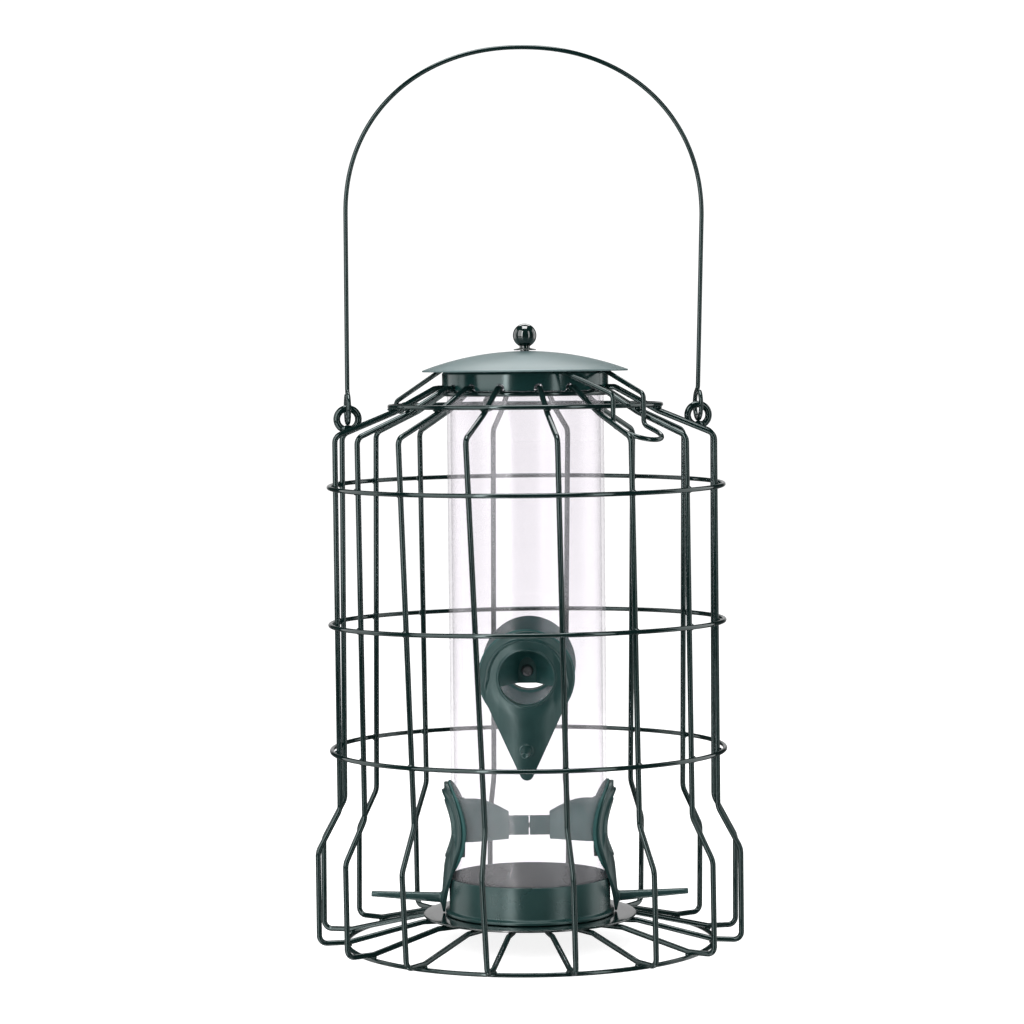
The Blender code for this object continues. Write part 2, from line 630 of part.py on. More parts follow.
def plate_mesh(name, reach, lean):
    """Teardrop port plate moulded in one with its tapered, slightly rising perch."""
    sections = [plate_section(inner, outer, reach, lean) for inner, outer in teardrop(reach)]
    plate = lofted(name, sections, closed=True)
    root = SADDLE_OUTER_RADIUS + GAP + PORT_PLATE_THICKNESS + plate_lean(-PERCH_DROP, reach, lean)
    flat = PERCH_TIP_HEIGHT / PERCH_TIP_WIDTH
    perch = rod(name, -SINK, PERCH_LENGTH, PERCH_ROOT_DIA / 2, PERCH_TIP_WIDTH / 2, flat)
    rise = Matrix.Rotation(-math.radians(PERCH_RISE_DEG), 4, "Y")
    perch.transform(Matrix.Translation((root, 0, -PERCH_DROP)) @ rise)
    return combined(name, plate, [("UNION", perch)])


def make_ports(plastic, steel):
    """Four hoods inside, four perch plates outside, and a screw through each pair of straps."""
    hood = hood_mesh()
    lower_reach = LOWER_PORT_HEIGHT - CUP_BOTTOM
    lean = CUP_FOOT_DIA / 2 - SADDLE_OUTER_RADIUS
    upper = plate_mesh("upper_port_plate", UPPER_PLATE_REACH, 0)
    lower = plate_mesh("lower_port_plate", lower_reach, lean)
    for name, azimuth, height in port_places():
        place = port_matrix(azimuth, height)
        finish(f"port_hood_{name}", hood, plastic).matrix_world = place
        plate = upper if height == UPPER_PORT_HEIGHT else lower
        finish(f"port_plate_{name}", plate, plastic).matrix_world = place
    seat = HOOD_END_REACH + HOOD_WALL + GAP
    head = rod("head", seat, seat + SCREW_HEAD_HEIGHT, SCREW_HEAD_DIA / 2)
    shank = rod("shank", -HOOD_END_REACH, seat + SINK, SCREW_DIA / 2, sides=SCREW_SIDES)
    screw = combined("strap_screw", head, [("UNION", shank)])
    screw.transform(Matrix.Translation((0, 0, STRAP_RISE)))
    for name, (_, azimuth, height) in zip(("upper", "lower"), port_places()[::2]):
        finish(f"strap_screw_{name}", screw, steel).matrix_world = port_matrix(azimuth, height)


# Lid

def dome_drop(radius):
    """How far the dome's outer face has fallen from its apex at a distance from the axis."""
    return DOME_CURVE - math.sqrt(DOME_CURVE ** 2 - radius ** 2)


def cap_mesh():
    """Shallow cap with a round edge, a bore for the stud and a round-topped notch over each wire."""
    outer = CAP_DIA / 2
    inner = outer - CAP_THICKNESS
    bore = STUD_DIA / 2 + GAP
    below = CAP_TOP - CAP_THICKNESS
    corner = (outer - CAP_EDGE_ROUND, CAP_TOP - CAP_EDGE_ROUND)
    profile = [(bore, CAP_TOP)] + arc(corner, CAP_EDGE_ROUND, 90, 0, 2) + [(outer, CAP_BOTTOM)]
    profile += [(inner, CAP_BOTTOM)] + arc(corner, CAP_EDGE_ROUND - CAP_THICKNESS, 0, 90, 1)
    profile.append((bore, below))
    half = WIRE_RADIUS + NOTCH_SIDE_CLEARANCE
    cutters = bmesh.new()
    for index in range(WIRE_COUNT):
        azimuth = wire_azimuth(index, NECK_HEIGHT)
        outline = arc((0, NECK_HEIGHT + NOTCH_RISE), half, 0, 180, NOTCH_STEPS)
        outline += [(-half, CAP_BOTTOM - OVERRUN), (half, CAP_BOTTOM - OVERRUN)]
        square = polar(azimuth + 90, 1, 0)
        ends = []
        for reach in (inner - OVERRUN, outer + OVERRUN):
            base = polar(azimuth, reach, 0)
            ends.append([base + square * across + Vector((0, 0, up)) for across, up in outline])
        cutter = lofted("notch", ends)
        cutters.from_mesh(cutter)
    return combined("lid_cap", turned("cap", profile), [("DIFFERENCE", mesh_from(cutters, "notches"))])


def latch_points():
    """Half of the latch wire as (along, across, up): eye, arm, cap, leg and half of the tab."""
    hinge_along = -BREAK_RADIUS * math.cos(math.radians(LATCH_HINGE_SPREAD_DEG))
    hinge_across = BREAK_RADIUS * math.sin(math.radians(LATCH_HINGE_SPREAD_DEG))
    leg_along = LATCH_LEG_RADIUS * math.cos(math.radians(LATCH_LEG_SPREAD_DEG))
    leg_across = LATCH_LEG_RADIUS * math.sin(math.radians(LATCH_LEG_SPREAD_DEG))
    run = Vector((leg_along - hinge_along, leg_across - hinge_across)).normalized()
    offset = run.x * hinge_across - run.y * hinge_along
    middle = Vector((-run.y * offset, run.x * offset))
    reach = math.sqrt((CAP_DIA / 2) ** 2 - offset ** 2)
    near = middle - run * reach
    far = middle + run * reach
    rise = LATCH_HEIGHT - SHOULDER_RING_HEIGHT
    distance = near.x - hinge_along
    slope = math.atan2(rise, distance) - math.asin(LATCH_EYE_RADIUS / math.hypot(rise, distance))
    lift = math.degrees(slope) + 90
    circle = arc((hinge_along, SHOULDER_RING_HEIGHT), LATCH_EYE_RADIUS / math.cos(math.pi / EYE_SEGMENTS),
                 lift + LATCH_EYE_TURN_DEG, lift, LATCH_EYE_STEPS)
    eye = [Vector((a, hinge_across, up)) for a, up in circle]
    corners = [eye[-1], Vector((near.x, near.y, LATCH_HEIGHT)), Vector((far.x, far.y, LATCH_HEIGHT)),
               Vector((leg_along, leg_across, LATCH_LEG_TOP)),
               Vector((leg_along, leg_across, LATCH_LEG_BOTTOM))]
    tab_center = leg_along + LATCH_TAB_REACH - leg_across
    drop = LATCH_TAB_DROP / LATCH_TAB_REACH
    corners.append(Vector((tab_center, leg_across, LATCH_LEG_BOTTOM - drop * (tab_center - leg_along))))
    path = rounded_path(corners, [LATCH_BEND] * 4)
    tab = []
    for a, b in arc((tab_center, 0), leg_across, LATCH_TAB_START_DEG, 0, LATCH_TAB_STEPS):
        tab.append(Vector((a, b, LATCH_LEG_BOTTOM - drop * (a - leg_along))))
    return eye[:-1] + path + tab


def make_lid(satin, glossy, steel, wire):
    """Dome, cap, knob, nut and latch wire, all carried by an empty on the hinge axis."""
    hinge_reach = BREAK_RADIUS * math.cos(math.radians(LATCH_HINGE_SPREAD_DEG))
    hinge = bpy.data.objects.new("lid_hinge", None)
    bpy.context.collection.objects.link(hinge)
    hinge.location = polar(LATCH_AZIMUTH_DEG + 180, hinge_reach, SHOULDER_RING_HEIGHT)
    hinge.rotation_euler.z = math.radians(LATCH_AZIMUTH_DEG)
    bore = STUD_DIA / 2 + GAP
    rim = DOME_DIA / 2
    under = LATCH_HEIGHT + LATCH_DIA / 2 + DOME_STANDOFF + dome_drop(CAP_DIA / 2)
    apex = under + DOME_THICKNESS
    radii = [bore + (rim - bore) * i / DOME_STEPS for i in range(DOME_STEPS + 1)]
    outline = [(radius, apex - dome_drop(radius)) for radius in radii]
    outline += [(radius, under - dome_drop(radius)) for radius in reversed(radii)]
    pieces = [finish("lid_dome", turned("lid_dome", outline), satin)]
    pieces.append(finish("lid_cap", cap_mesh(), glossy))
    foot = apex + GAP
    top = foot + KNOB_FOOT_HEIGHT
    ball = (0, top + KNOB_NECK_HEIGHT + KNOB_BALL_DIA / 2)
    neck_deg = math.degrees(math.asin(KNOB_NECK_DIA / KNOB_BALL_DIA)) - 90
    nut_top = CAP_TOP - CAP_THICKNESS - GAP
    end = nut_top - NUT_HEIGHT - STUD_END
    profile = [(0, ball[1] + KNOB_BALL_DIA / 2)]
    profile += arc(ball, KNOB_BALL_DIA / 2, KNOB_CROWN_DEG, neck_deg, KNOB_STEPS)
    profile += [(KNOB_NECK_DIA / 2, top), (KNOB_FOOT_DIA / 2, foot + KNOB_FOOT_EDGE)]
    profile.append((KNOB_FOOT_DIA / 2, foot))
    profile += [(STUD_DIA / 2, foot), (STUD_DIA / 2, end), (0, end)]
    pieces.append(finish("lid_knob", turned("lid_knob", profile, KNOB_SEGMENTS), glossy))
    corner = NUT_WIDTH / 2 / math.cos(math.pi / NUT_SIDES)
    blank = turned("nut", [(0, nut_top), (corner, nut_top), (corner, nut_top - NUT_HEIGHT),
                           (0, nut_top - NUT_HEIGHT)], NUT_SIDES)
    hole = turned("hole", [(0, CAP_TOP), (bore, CAP_TOP), (bore, end), (0, end)], ROD_SIDES)
    pieces.append(finish("lid_nut", combined("lid_nut", blank, [("DIFFERENCE", hole)]), steel))
    along = polar(LATCH_AZIMUTH_DEG, 1, 0)
    square = polar(LATCH_AZIMUTH_DEG + 90, 1, 0)
    half = latch_points()
    line = half + [Vector((a, -b, c)) for a, b, c in reversed(half[:-1])]
    points = [along * a + square * b + Vector((0, 0, c)) for a, b, c in line]
    pieces.append(bent_wire("latch_wire", points, LATCH_DIA, wire))
    bpy.context.view_layer.update()
    for piece in pieces:
        piece.parent = hinge
        piece.matrix_parent_inverse = hinge.matrix_world.inverted()


def main():
    """Build every piece into the empty scene."""
    for old in list(bpy.data.objects):
        bpy.data.objects.remove(old)
    wire = paint("wire_paint", (0.018, 0.045, 0.043), 0.25)
    satin = paint("satin_paint", (0.24, 0.32, 0.31), 0.45)
    glossy = paint("glossy_paint", (0.03, 0.07, 0.065), 0.2)
    plastic = paint("green_plastic", (0.04, 0.09, 0.085), 0.45)
    clear = paint("clear_plastic", (0.86, 0.84, 0.87), 0.05, transmission=0.9)
    steel = paint("plated_steel", (0.55, 0.56, 0.56), 0.3, metallic=1.0)
    make_cage_wires(wire)
    make_rings(wire)
    make_eyelets(wire)
    make_bail(wire)
    make_base(glossy)
    make_tube(clear)
    make_ports(plastic, steel)
    make_lid(satin, glossy, steel, wire)


main()
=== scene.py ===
"""Squirrel proof bird feeder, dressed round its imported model: wire cage, seed tube, ports, lid and bail.

Lengths are in metres. The origin is on the ground under the tube's axis, the front is -Y and +Z is up.
Azimuths are in degrees from the front towards +X.
"""
import math

import bmesh
import bpy
import numpy as np
from mathutils import Matrix, Vector


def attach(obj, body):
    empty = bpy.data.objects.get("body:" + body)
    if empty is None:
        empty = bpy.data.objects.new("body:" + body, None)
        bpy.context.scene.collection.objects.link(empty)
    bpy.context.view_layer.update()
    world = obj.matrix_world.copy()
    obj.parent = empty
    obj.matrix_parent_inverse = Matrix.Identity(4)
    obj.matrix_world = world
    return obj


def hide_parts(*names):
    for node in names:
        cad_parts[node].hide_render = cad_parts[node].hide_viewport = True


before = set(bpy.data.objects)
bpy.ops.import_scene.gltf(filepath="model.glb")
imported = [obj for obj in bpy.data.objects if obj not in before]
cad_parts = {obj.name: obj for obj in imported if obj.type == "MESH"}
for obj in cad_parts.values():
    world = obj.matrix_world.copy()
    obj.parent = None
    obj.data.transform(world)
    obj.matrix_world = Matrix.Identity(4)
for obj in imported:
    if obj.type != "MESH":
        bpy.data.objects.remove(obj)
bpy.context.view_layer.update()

# Cage wires
# Sixteen lengths of mild steel wire, each bent cold from the neck over the shoulder, down the body, out
# over the bell and in under the base as a spoke. They are welded into a cage and then coated dark green.

WIRE_COUNT = 16
WIRE_RADIUS = 0.0012
WIRE_LEAN = -2.5
ODD_LEANS = {8: -1.2, 9: 1.5, 14: -5.9, 15: -6.2}
BODY_RADIUS = 0.0840
BREAK_RADIUS, BREAK_HEIGHT = 0.0595, 0.2342
SHOULDER_HEIGHT = 0.2243
NECK_HEIGHT = 0.2448
FOOT_HEIGHT = 0.0033187
SPOKE_HEIGHT = 0.0108
WIRE_OUTLINE = np.array([
    (0.0353, NECK_HEIGHT), (0.0400, NECK_HEIGHT), (BREAK_RADIUS, BREAK_HEIGHT), (BODY_RADIUS, SHOULDER_HEIGHT),
    (BODY_RADIUS, 0.0617), (0.0939, 0.0435), (0.0939, FOOT_HEIGHT), (0.0810, FOOT_HEIGHT),
    (0.0480, SPOKE_HEIGHT), (0.0370, SPOKE_HEIGHT)])
WIRE_BENDS = (0.003, 0.004, 0.004, 0.008, 0.008, 0.0035, 0.006, 0.004)
WIRE_SIDES = 20
BEND_TURN = 7.0
STRIDE = 0.005
DARK_GREEN, DEEP_GREEN = (0.0024, 0.0092, 0.0086), (0.0016, 0.0064, 0.0060)
GREEN_CAST = (0.84, 1.0, 0.99, 1.0)


def unit(v):
    """Each vector divided by its own length."""
    return v / np.linalg.norm(v, axis=-1, keepdims=True)


def spot(azimuth, radius, height):
    """Point at x = radius sin(azimuth), y = -radius cos(azimuth), z = height."""
    turn = np.radians(azimuth)
    return np.stack(np.broadcast_arrays(radius * np.sin(turn), -radius * np.cos(turn), height), axis=-1)


def wire_azimuth(index, height):
    """Even spacing at the foot, plus the wire's lean times its share of the way up to the shoulder."""
    share = np.clip((height - FOOT_HEIGHT) / (SHOULDER_HEIGHT - FOOT_HEIGHT), 0, 1)
    return 360 / WIRE_COUNT * (index + 0.5) + ODD_LEANS.get(index, WIRE_LEAN) * share


def strided(path, stride):
    """The path with each run cut into the fewest equal lengths that are no longer than a stride."""
    counts = np.ceil(np.linalg.norm(np.diff(path, axis=0), axis=1) / stride).astype(int)
    runs = np.repeat(np.arange(len(counts)), counts)
    shares = (np.arange(counts.sum()) - (np.cumsum(counts) - counts)[runs]) / counts[runs]
    return np.vstack([path[runs] + shares[:, None] * (path[runs + 1] - path[runs]), path[-1:]])


def bent_path(corners, bends, turn=BEND_TURN):
    """Path through corners, each inner one rounded by an arc that touches both of its runs.

    The arc's centre is on their bisector, at bend / sin(half angle), and its points are the centre plus
    bend times the direction that turns evenly from the first touching point to the last."""
    made = [corners[:1]]
    for before, corner, after, bend in zip(corners, corners[1:], corners[2:], bends):
        back, onward = unit(before - corner), unit(after - corner)
        half = math.acos(np.clip(back @ onward, -1, 1)) / 2
        if not bend or half > math.radians(89.5):
            made.append(corner[None])
            continue
        center = corner + unit(back + onward) * bend / math.sin(half)
        first = corner + back * bend / math.tan(half) - center
        last = corner + onward * bend / math.tan(half) - center
        sweep = math.pi - 2 * half
        share = np.linspace(0, 1, math.ceil(math.degrees(sweep) / turn) + 1)[:, None]
        made.append(center + (np.sin((1 - share) * sweep) * first + np.sin(share * sweep) * last) / math.sin(sweep))
    return np.vstack(made + [corners[-1:]])


def round_wire(path, radius, guide, closed=False, sides=WIRE_SIDES):
    """Grid of a round wire: each point of the path plus radius (cos t side + sin t lift).

    Side is square to the run and to the guide direction, and lift is square to side and run. A cut end
    is flat with a small round edge, drawn by rows whose radius grows while they step inwards."""
    steps = np.roll(path, -1, axis=0) - path if closed else np.diff(path, axis=0)
    steps = unit(steps)
    if closed:
        run = unit(steps + np.roll(steps, 1, axis=0))
    else:
        run = unit(np.vstack([steps[:1], steps[:-1] + steps[1:], steps[-1:]]))
    side = unit(np.cross(run, guide))
    lift = np.cross(side, run)
    turn = np.linspace(0, 2 * np.pi, sides, endpoint=False)[None, :, None]
    ring = np.cos(turn) * side[:, None] + np.sin(turn) * lift[:, None]
    if closed:
        return path[:, None] + radius * ring
    size = np.array([0, 0.78, 0.94, 1.0])[:, None, None]
    inset = np.array([0, 0, 0.08, 0.28])[:, None, None]
    start = path[0] + radius * (size * ring[0] + inset * run[0])
    end = (path[-1] + radius * (size * ring[-1] - inset * run[-1]))[::-1]
    return np.concatenate([start, path[1:-1, None] + radius * ring[1:-1], end])


def shell(grid, around=True, along=False):
    """Points and four-cornered faces of a grid, turned outwards.

    Columns close round, rows close along, and an end row that has shrunk to a point becomes one vertex.
    The faces point outwards where the sum of a . (b x c) over their triangles is positive."""
    index = np.arange(grid.shape[0] * grid.shape[1]).reshape(grid.shape[:2])
    points = grid.reshape(-1, 3)
    for end in (0, -1):
        if not along and np.ptp(grid[end], axis=0).max() < 1e-9:
            index[end] = index[end, 0]
    if around:
        index = np.column_stack([index, index[:, :1]])
    if along:
        index = np.vstack([index, index[:1]])
    faces = np.stack([index[:-1, :-1], index[:-1, 1:], index[1:, 1:], index[1:, :-1]], axis=-1).reshape(-1, 4)
    a, b, c, d = (points[faces[:, i]] for i in range(4))
    volume = (a * np.cross(b, c)).sum() + (a * np.cross(c, d)).sum()
    used, compact = np.unique(faces, return_inverse=True)
    faces = compact.reshape(-1, 4)
    return points[used], faces if volume > 0 else faces[:, ::-1]


def mesh_of(name, shells):
    """Mesh of several closed shells. A face at a pole has two equal corners, and becomes a triangle."""
    points, faces, count = [], [], 0
    for spots, quads in shells:
        quads = quads + count
        repeat = quads == np.roll(quads, -1, axis=1)
        faces += quads[~repeat.any(axis=1)].tolist()
        for corner in range(4):
            faces += np.delete(quads[repeat[:, corner]], corner, axis=1).tolist()
        points.append(spots)
        count += len(spots)
    data = bpy.data.meshes.new(name)
    data.from_pydata(np.vstack(points).tolist(), [], faces)
    return data


def piece(name, data, material, sharp=35.0):
    """Object at the origin for a mesh, with its material and its edges sharper than an angle kept crisp."""
    data.materials.clear()
    data.materials.append(material)
    data.shade_smooth()
    data.set_sharp_from_angle(angle=math.radians(sharp))
    made = bpy.data.objects.new(name, data)
    bpy.context.scene.collection.objects.link(made)
    return made


def finish_of(name, tones, roughness, drift, grain, depth, fixed):
    """Material that varies softly: two tones and two roughnesses mixed by a noise as long as drift, and a
    bump of a given depth by a finer noise as long as grain. The fixed values go straight to the shader."""
    made = bpy.data.materials.new(name)
    made.use_nodes = True
    nodes, links = made.node_tree.nodes, made.node_tree.links
    shader = nodes["Principled BSDF"]
    for socket, value in fixed.items():
        shader.inputs[socket].default_value = value
    place = nodes.new("ShaderNodeTexCoord")
    broad = nodes.new("ShaderNodeTexNoise")
    broad.inputs["Scale"].default_value = 1 / drift
    broad.inputs["Detail"].default_value = 3
    links.new(place.outputs["Object"], broad.inputs["Vector"])
    colors = nodes.new("ShaderNodeValToRGB")
    colors.color_ramp.elements[0].position = 0.35
    colors.color_ramp.elements[1].position = 0.65
    colors.color_ramp.elements[0].color = (*tones[0], 1)
    colors.color_ramp.elements[1].color = (*tones[1], 1)
    links.new(broad.outputs["Fac"], colors.inputs["Fac"])
    links.new(colors.outputs["Color"], shader.inputs["Base Color"])
    spread = nodes.new("ShaderNodeMapRange")
    spread.inputs["From Min"].default_value = 0.3
    spread.inputs["From Max"].default_value = 0.7
    spread.inputs["To Min"].default_value = roughness[0]
    spread.inputs["To Max"].default_value = roughness[1]
    links.new(broad.outputs["Fac"], spread.inputs["Value"])
    links.new(spread.outputs["Result"], shader.inputs["Roughness"])
    fine = nodes.new("ShaderNodeTexNoise")
    fine.inputs["Scale"].default_value = 1 / grain
    fine.inputs["Detail"].default_value = 2
    links.new(place.outputs["Object"], fine.inputs["Vector"])
    bump = nodes.new("ShaderNodeBump")
    bump.inputs["Distance"].default_value = depth
    links.new(fine.outputs["Fac"], bump.inputs["Height"])
    links.new(bump.outputs["Normal"], shader.inputs["Normal"])
    return made


wire_paint = finish_of("wire_paint", (DEEP_GREEN, DARK_GREEN), (0.05, 0.09), 0.006, 0.0011, 0.0000006,
                       {"Specular IOR Level": 0.58, "Specular Tint": GREEN_CAST})
for index in range(WIRE_COUNT):
    corners = spot(wire_azimuth(index, WIRE_OUTLINE[:, 1]), *WIRE_OUTLINE.T)
    path = strided(bent_path(corners, WIRE_BENDS), STRIDE)
    across = spot(wire_azimuth(index, 0) + 90, 1.0, 0.0)
    wire = piece(f"bent_wire_{index + 1:02d}", mesh_of("bent_wire", [shell(round_wire(path, WIRE_RADIUS, across))]),
                 wire_paint)
    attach(wire, "cage")
    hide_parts(f"cage_wire_{index + 1:02d}")


# Hoops and rings
# Three hoops hold the body wires from outside, one ring lies on the shoulder, one lies under the neck ends
# and one under the spokes. Each is a wire rolled round and closed with a butt weld, which stands a little proud.

HOOP_WIRE_RADIUS = 0.0010
BASE_WIRE_RADIUS = 0.00105
GAP = 0.0003
WELD_SPACING = WIRE_RADIUS + GAP + HOOP_WIRE_RADIUS
HOOP_RADIUS = BODY_RADIUS + WELD_SPACING
NECK_SLOPE = math.atan2(NECK_HEIGHT - BREAK_HEIGHT, BREAK_RADIUS - 0.0400)
SHOULDER_RING_HEIGHT = BREAK_HEIGHT + WELD_SPACING / math.cos(NECK_SLOPE)
NECK_RING_RADIUS, NECK_RING_HEIGHT = 0.0360, NECK_HEIGHT - WELD_SPACING
BASE_RING_RADIUS, BASE_RING_HEIGHT = 0.0810, 0.00096
RINGS = {
    "hoop_upper": (HOOP_RADIUS, 0.2020, HOOP_WIRE_RADIUS, 0.6, 0.0),
    "hoop_middle": (HOOP_RADIUS, 0.1419, HOOP_WIRE_RADIUS, -0.9, -0.3),
    "hoop_lower": (HOOP_RADIUS, 0.0860, HOOP_WIRE_RADIUS, -0.6, 0.0),
    "shoulder_ring": (BREAK_RADIUS, SHOULDER_RING_HEIGHT, HOOP_WIRE_RADIUS, 0.0, 0.0),
    "neck_ring": (NECK_RING_RADIUS, NECK_RING_HEIGHT, HOOP_WIRE_RADIUS, 0.0, 0.0),
    "base_ring": (BASE_RING_RADIUS, BASE_RING_HEIGHT, BASE_WIRE_RADIUS - 0.00009, 0.0, 0.0)}
RING_STEPS = 180
BUTT_AZIMUTHS = (191, 168, 213, 146, 236, 168)
BUTT_SPREAD = 0.0012
BUTT_SWELL = 0.10


def ring_spot(azimuth, radius, height, tilt_x, tilt_y):
    """Point of a level ring after its small tilts: z = height + y sin(tilt x) - x sin(tilt y)."""
    flat = spot(azimuth, radius, 0.0)
    lean_x, lean_y = math.radians(tilt_x), math.radians(tilt_y)
    y = flat[..., 1] * math.cos(lean_x)
    rise = flat[..., 1] * math.sin(lean_x)
    x = flat[..., 0] * math.cos(lean_y) + rise * math.sin(lean_y)
    return np.stack([x, y, height + rise * math.cos(lean_y) - flat[..., 0] * math.sin(lean_y)], axis=-1)


for (name, (radius, height, size, tilt_x, tilt_y)), butt in zip(RINGS.items(), BUTT_AZIMUTHS):
    azimuths = np.linspace(0, 360, RING_STEPS, endpoint=False)
    path = ring_spot(azimuths, radius, height, tilt_x, tilt_y)
    grid = round_wire(path, size, np.array([0.0, 0.0, 1.0]), closed=True)
    offset = np.radians((azimuths - butt + 180) % 360 - 180) * radius
    swell = 1 + BUTT_SWELL * np.exp(-(offset / BUTT_SPREAD) ** 2) * (name != "base_ring")
    grid = path[:, None] + (grid - path[:, None]) * swell[:, None, None]
    ring = piece(f"{name}_round", mesh_of(name, [shell(grid, along=True)]), wire_paint)
    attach(ring, "cage")
    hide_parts(name)


# Resistance welds
# Where a ring crosses a wire the two are pressed together between electrodes and welded, and a little steel
# squeezes out round the spot. The coating fills the corners, so each joint is one small smooth swelling.

BEAD_HALF = np.array([0.00150, 0.00150, 0.00075])
BEAD_ROWS, BEAD_COLUMNS = 7, 10
UP = np.array([0.0, 0.0, 1.0])


def bead(center, along, outward, half):
    """Ellipsoid on three square axes: centre + half sizes times (sin v cos u, sin v sin u, cos v)."""
    v = np.linspace(0, np.pi, BEAD_ROWS)[:, None]
    u = np.linspace(0, 2 * np.pi, BEAD_COLUMNS, endpoint=False)[None]
    ball = np.stack(np.broadcast_arrays(np.sin(v) * np.cos(u), np.sin(v) * np.sin(u), np.cos(v)), axis=-1)
    third = np.cross(outward, along)
    return shell(center + (ball * half) @ np.array([along, third, outward]))


for name, (radius, height, size, tilt_x, tilt_y) in RINGS.items():
    beads = []
    for index in range(WIRE_COUNT):
        azimuth = float(wire_azimuth(index, height))
        center = ring_spot(azimuth, radius, height, tilt_x, tilt_y)
        inward = -spot(azimuth, 1.0, 0.0) if name.startswith("hoop") else -UP if name == "shoulder_ring" else UP
        beads.append(bead(center + inward * (size + GAP / 2), spot(azimuth + 90, 1.0, 0.0), inward, BEAD_HALF))
    welds = piece(f"welds_{name}", mesh_of("welds", beads), wire_paint)
    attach(welds, "cage")


# Eyelets
# Two small rings of thicker bar stand upright beside opposite shoulder wires, each welded along its rear side.
# The bail's eyes hang in them, and they take the whole weight of the filled feeder.

EYELET_WIRE = 4
EYELET_RADIUS, EYELET_HEIGHT = 0.0780, 0.2318
EYELET_LINE, EYELET_BAR = 0.004725, 0.001525
EYELET_STEPS = 48
HINGE_AZIMUTH = float(wire_azimuth(EYELET_WIRE, SHOULDER_HEIGHT))
BAIL_ALONG = spot(HINGE_AZIMUTH, 1.0, 0.0)
BAIL_SQUARE = spot(HINGE_AZIMUTH + 90, 1.0, 0.0)
BAIL_PIVOT = BAIL_SQUARE * (WIRE_RADIUS + GAP + EYELET_BAR) + UP * (EYELET_HEIGHT + EYELET_LINE)

for name, side in (("eyelet_right", 1), ("eyelet_left", -1)):
    center = BAIL_PIVOT - UP * EYELET_LINE + BAIL_ALONG * EYELET_RADIUS * side
    turn = np.linspace(0, 2 * np.pi, EYELET_STEPS, endpoint=False)[:, None]
    path = center + EYELET_LINE * (np.cos(turn) * BAIL_ALONG + np.sin(turn) * UP)
    seam = center - BAIL_SQUARE * (EYELET_BAR + GAP / 2) - UP * EYELET_LINE
    parts = [shell(round_wire(path, EYELET_BAR, BAIL_SQUARE, closed=True), along=True)]
    parts.append(bead(seam + UP * 0.0006, BAIL_ALONG, BAIL_SQUARE, np.array([0.0030, 0.0016, 0.0008])))
    eyelet = piece(f"{name}_ring", mesh_of(name, parts), wire_paint)
    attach(eyelet, "cage")
    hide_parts(name)


# Bail
# The handle is one springy wire bent to a round arch on two legs. Each end is curled into an eye that links
# its eyelet, so the arch swings over the lid from side to side.

BAIL_RADIUS = 0.0010
BAIL_EYE = 0.0065
BAIL_EYE_GAP = 28.0
BAIL_TURN = 0.0022
BAIL_SPAN = 0.0790
BAIL_SPRING = 0.3205
BAIL_RISE = 0.0729
BAIL_FULLNESS = 0.94
BAIL_SWAY = 0.0012
ARCH_STEPS = 90

spring = BAIL_SPRING - BAIL_PIVOT[2]
angle = np.linspace(0, np.pi, ARCH_STEPS + 1)[1:-1]
arch = np.stack([BAIL_SPAN * np.sign(np.cos(angle)) * np.abs(np.cos(angle)) ** BAIL_FULLNESS + BAIL_SWAY, 0 * angle,
                 spring + BAIL_RISE * np.sin(angle) ** BAIL_FULLNESS], axis=-1)
ends = []
for side in (1, -1):
    corners = np.array([(BAIL_SPAN * side + BAIL_SWAY, 0, spring), (EYELET_RADIUS * side, 0, BAIL_EYE),
                        (EYELET_RADIUS * side, BAIL_EYE * side, BAIL_EYE)])
    start = 90 - math.degrees(BAIL_TURN / BAIL_EYE)
    curl = np.radians(np.linspace(start, BAIL_EYE_GAP - 270, 40))
    eye = np.stack([0 * curl + EYELET_RADIUS * side, BAIL_EYE * np.cos(curl) * side, BAIL_EYE * np.sin(curl)],
                   axis=-1)
    ends.append(np.vstack([strided(bent_path(corners, [BAIL_TURN])[:-2], STRIDE), eye]))
line = np.vstack([ends[0][::-1], arch, ends[1]])
path = BAIL_PIVOT + line @ np.array([BAIL_ALONG, BAIL_SQUARE, UP])
slant = unit(BAIL_ALONG + BAIL_SQUARE)
bail = piece("bail_handle", mesh_of("bail", [shell(round_wire(path, BAIL_RADIUS, slant))]), wire_paint)
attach(bail, "bail")
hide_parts("bail")


# Base plate
# A round plate of sheet steel, blanked and welded to the spoke ends. It closes the cage from below, and the
# same gloss coat covers it, so its flat top mirrors whatever is pale around it.

PLATE_RADIUS = 0.0469
PLATE_LOW, PLATE_HIGH = 0.0123, 0.0132
SHEET_EDGE = 0.0003
TURN_STEPS = 128


def outline_of(corners, bends, turn=15.0):
    """Rounded outline through (radius, height) corners; a bend of zero stays sharp."""
    return bent_path(np.array(corners, float), bends, turn)


def turned(outline, steps=TURN_STEPS, closed=False):
    """Surface of an outline turned about Z: each (radius, height) becomes a level circle of that radius."""
    azimuths = np.linspace(0, 360, steps, endpoint=False)[None]
    return shell(spot(azimuths, outline[:, :1], outline[:, 1:]), along=closed)


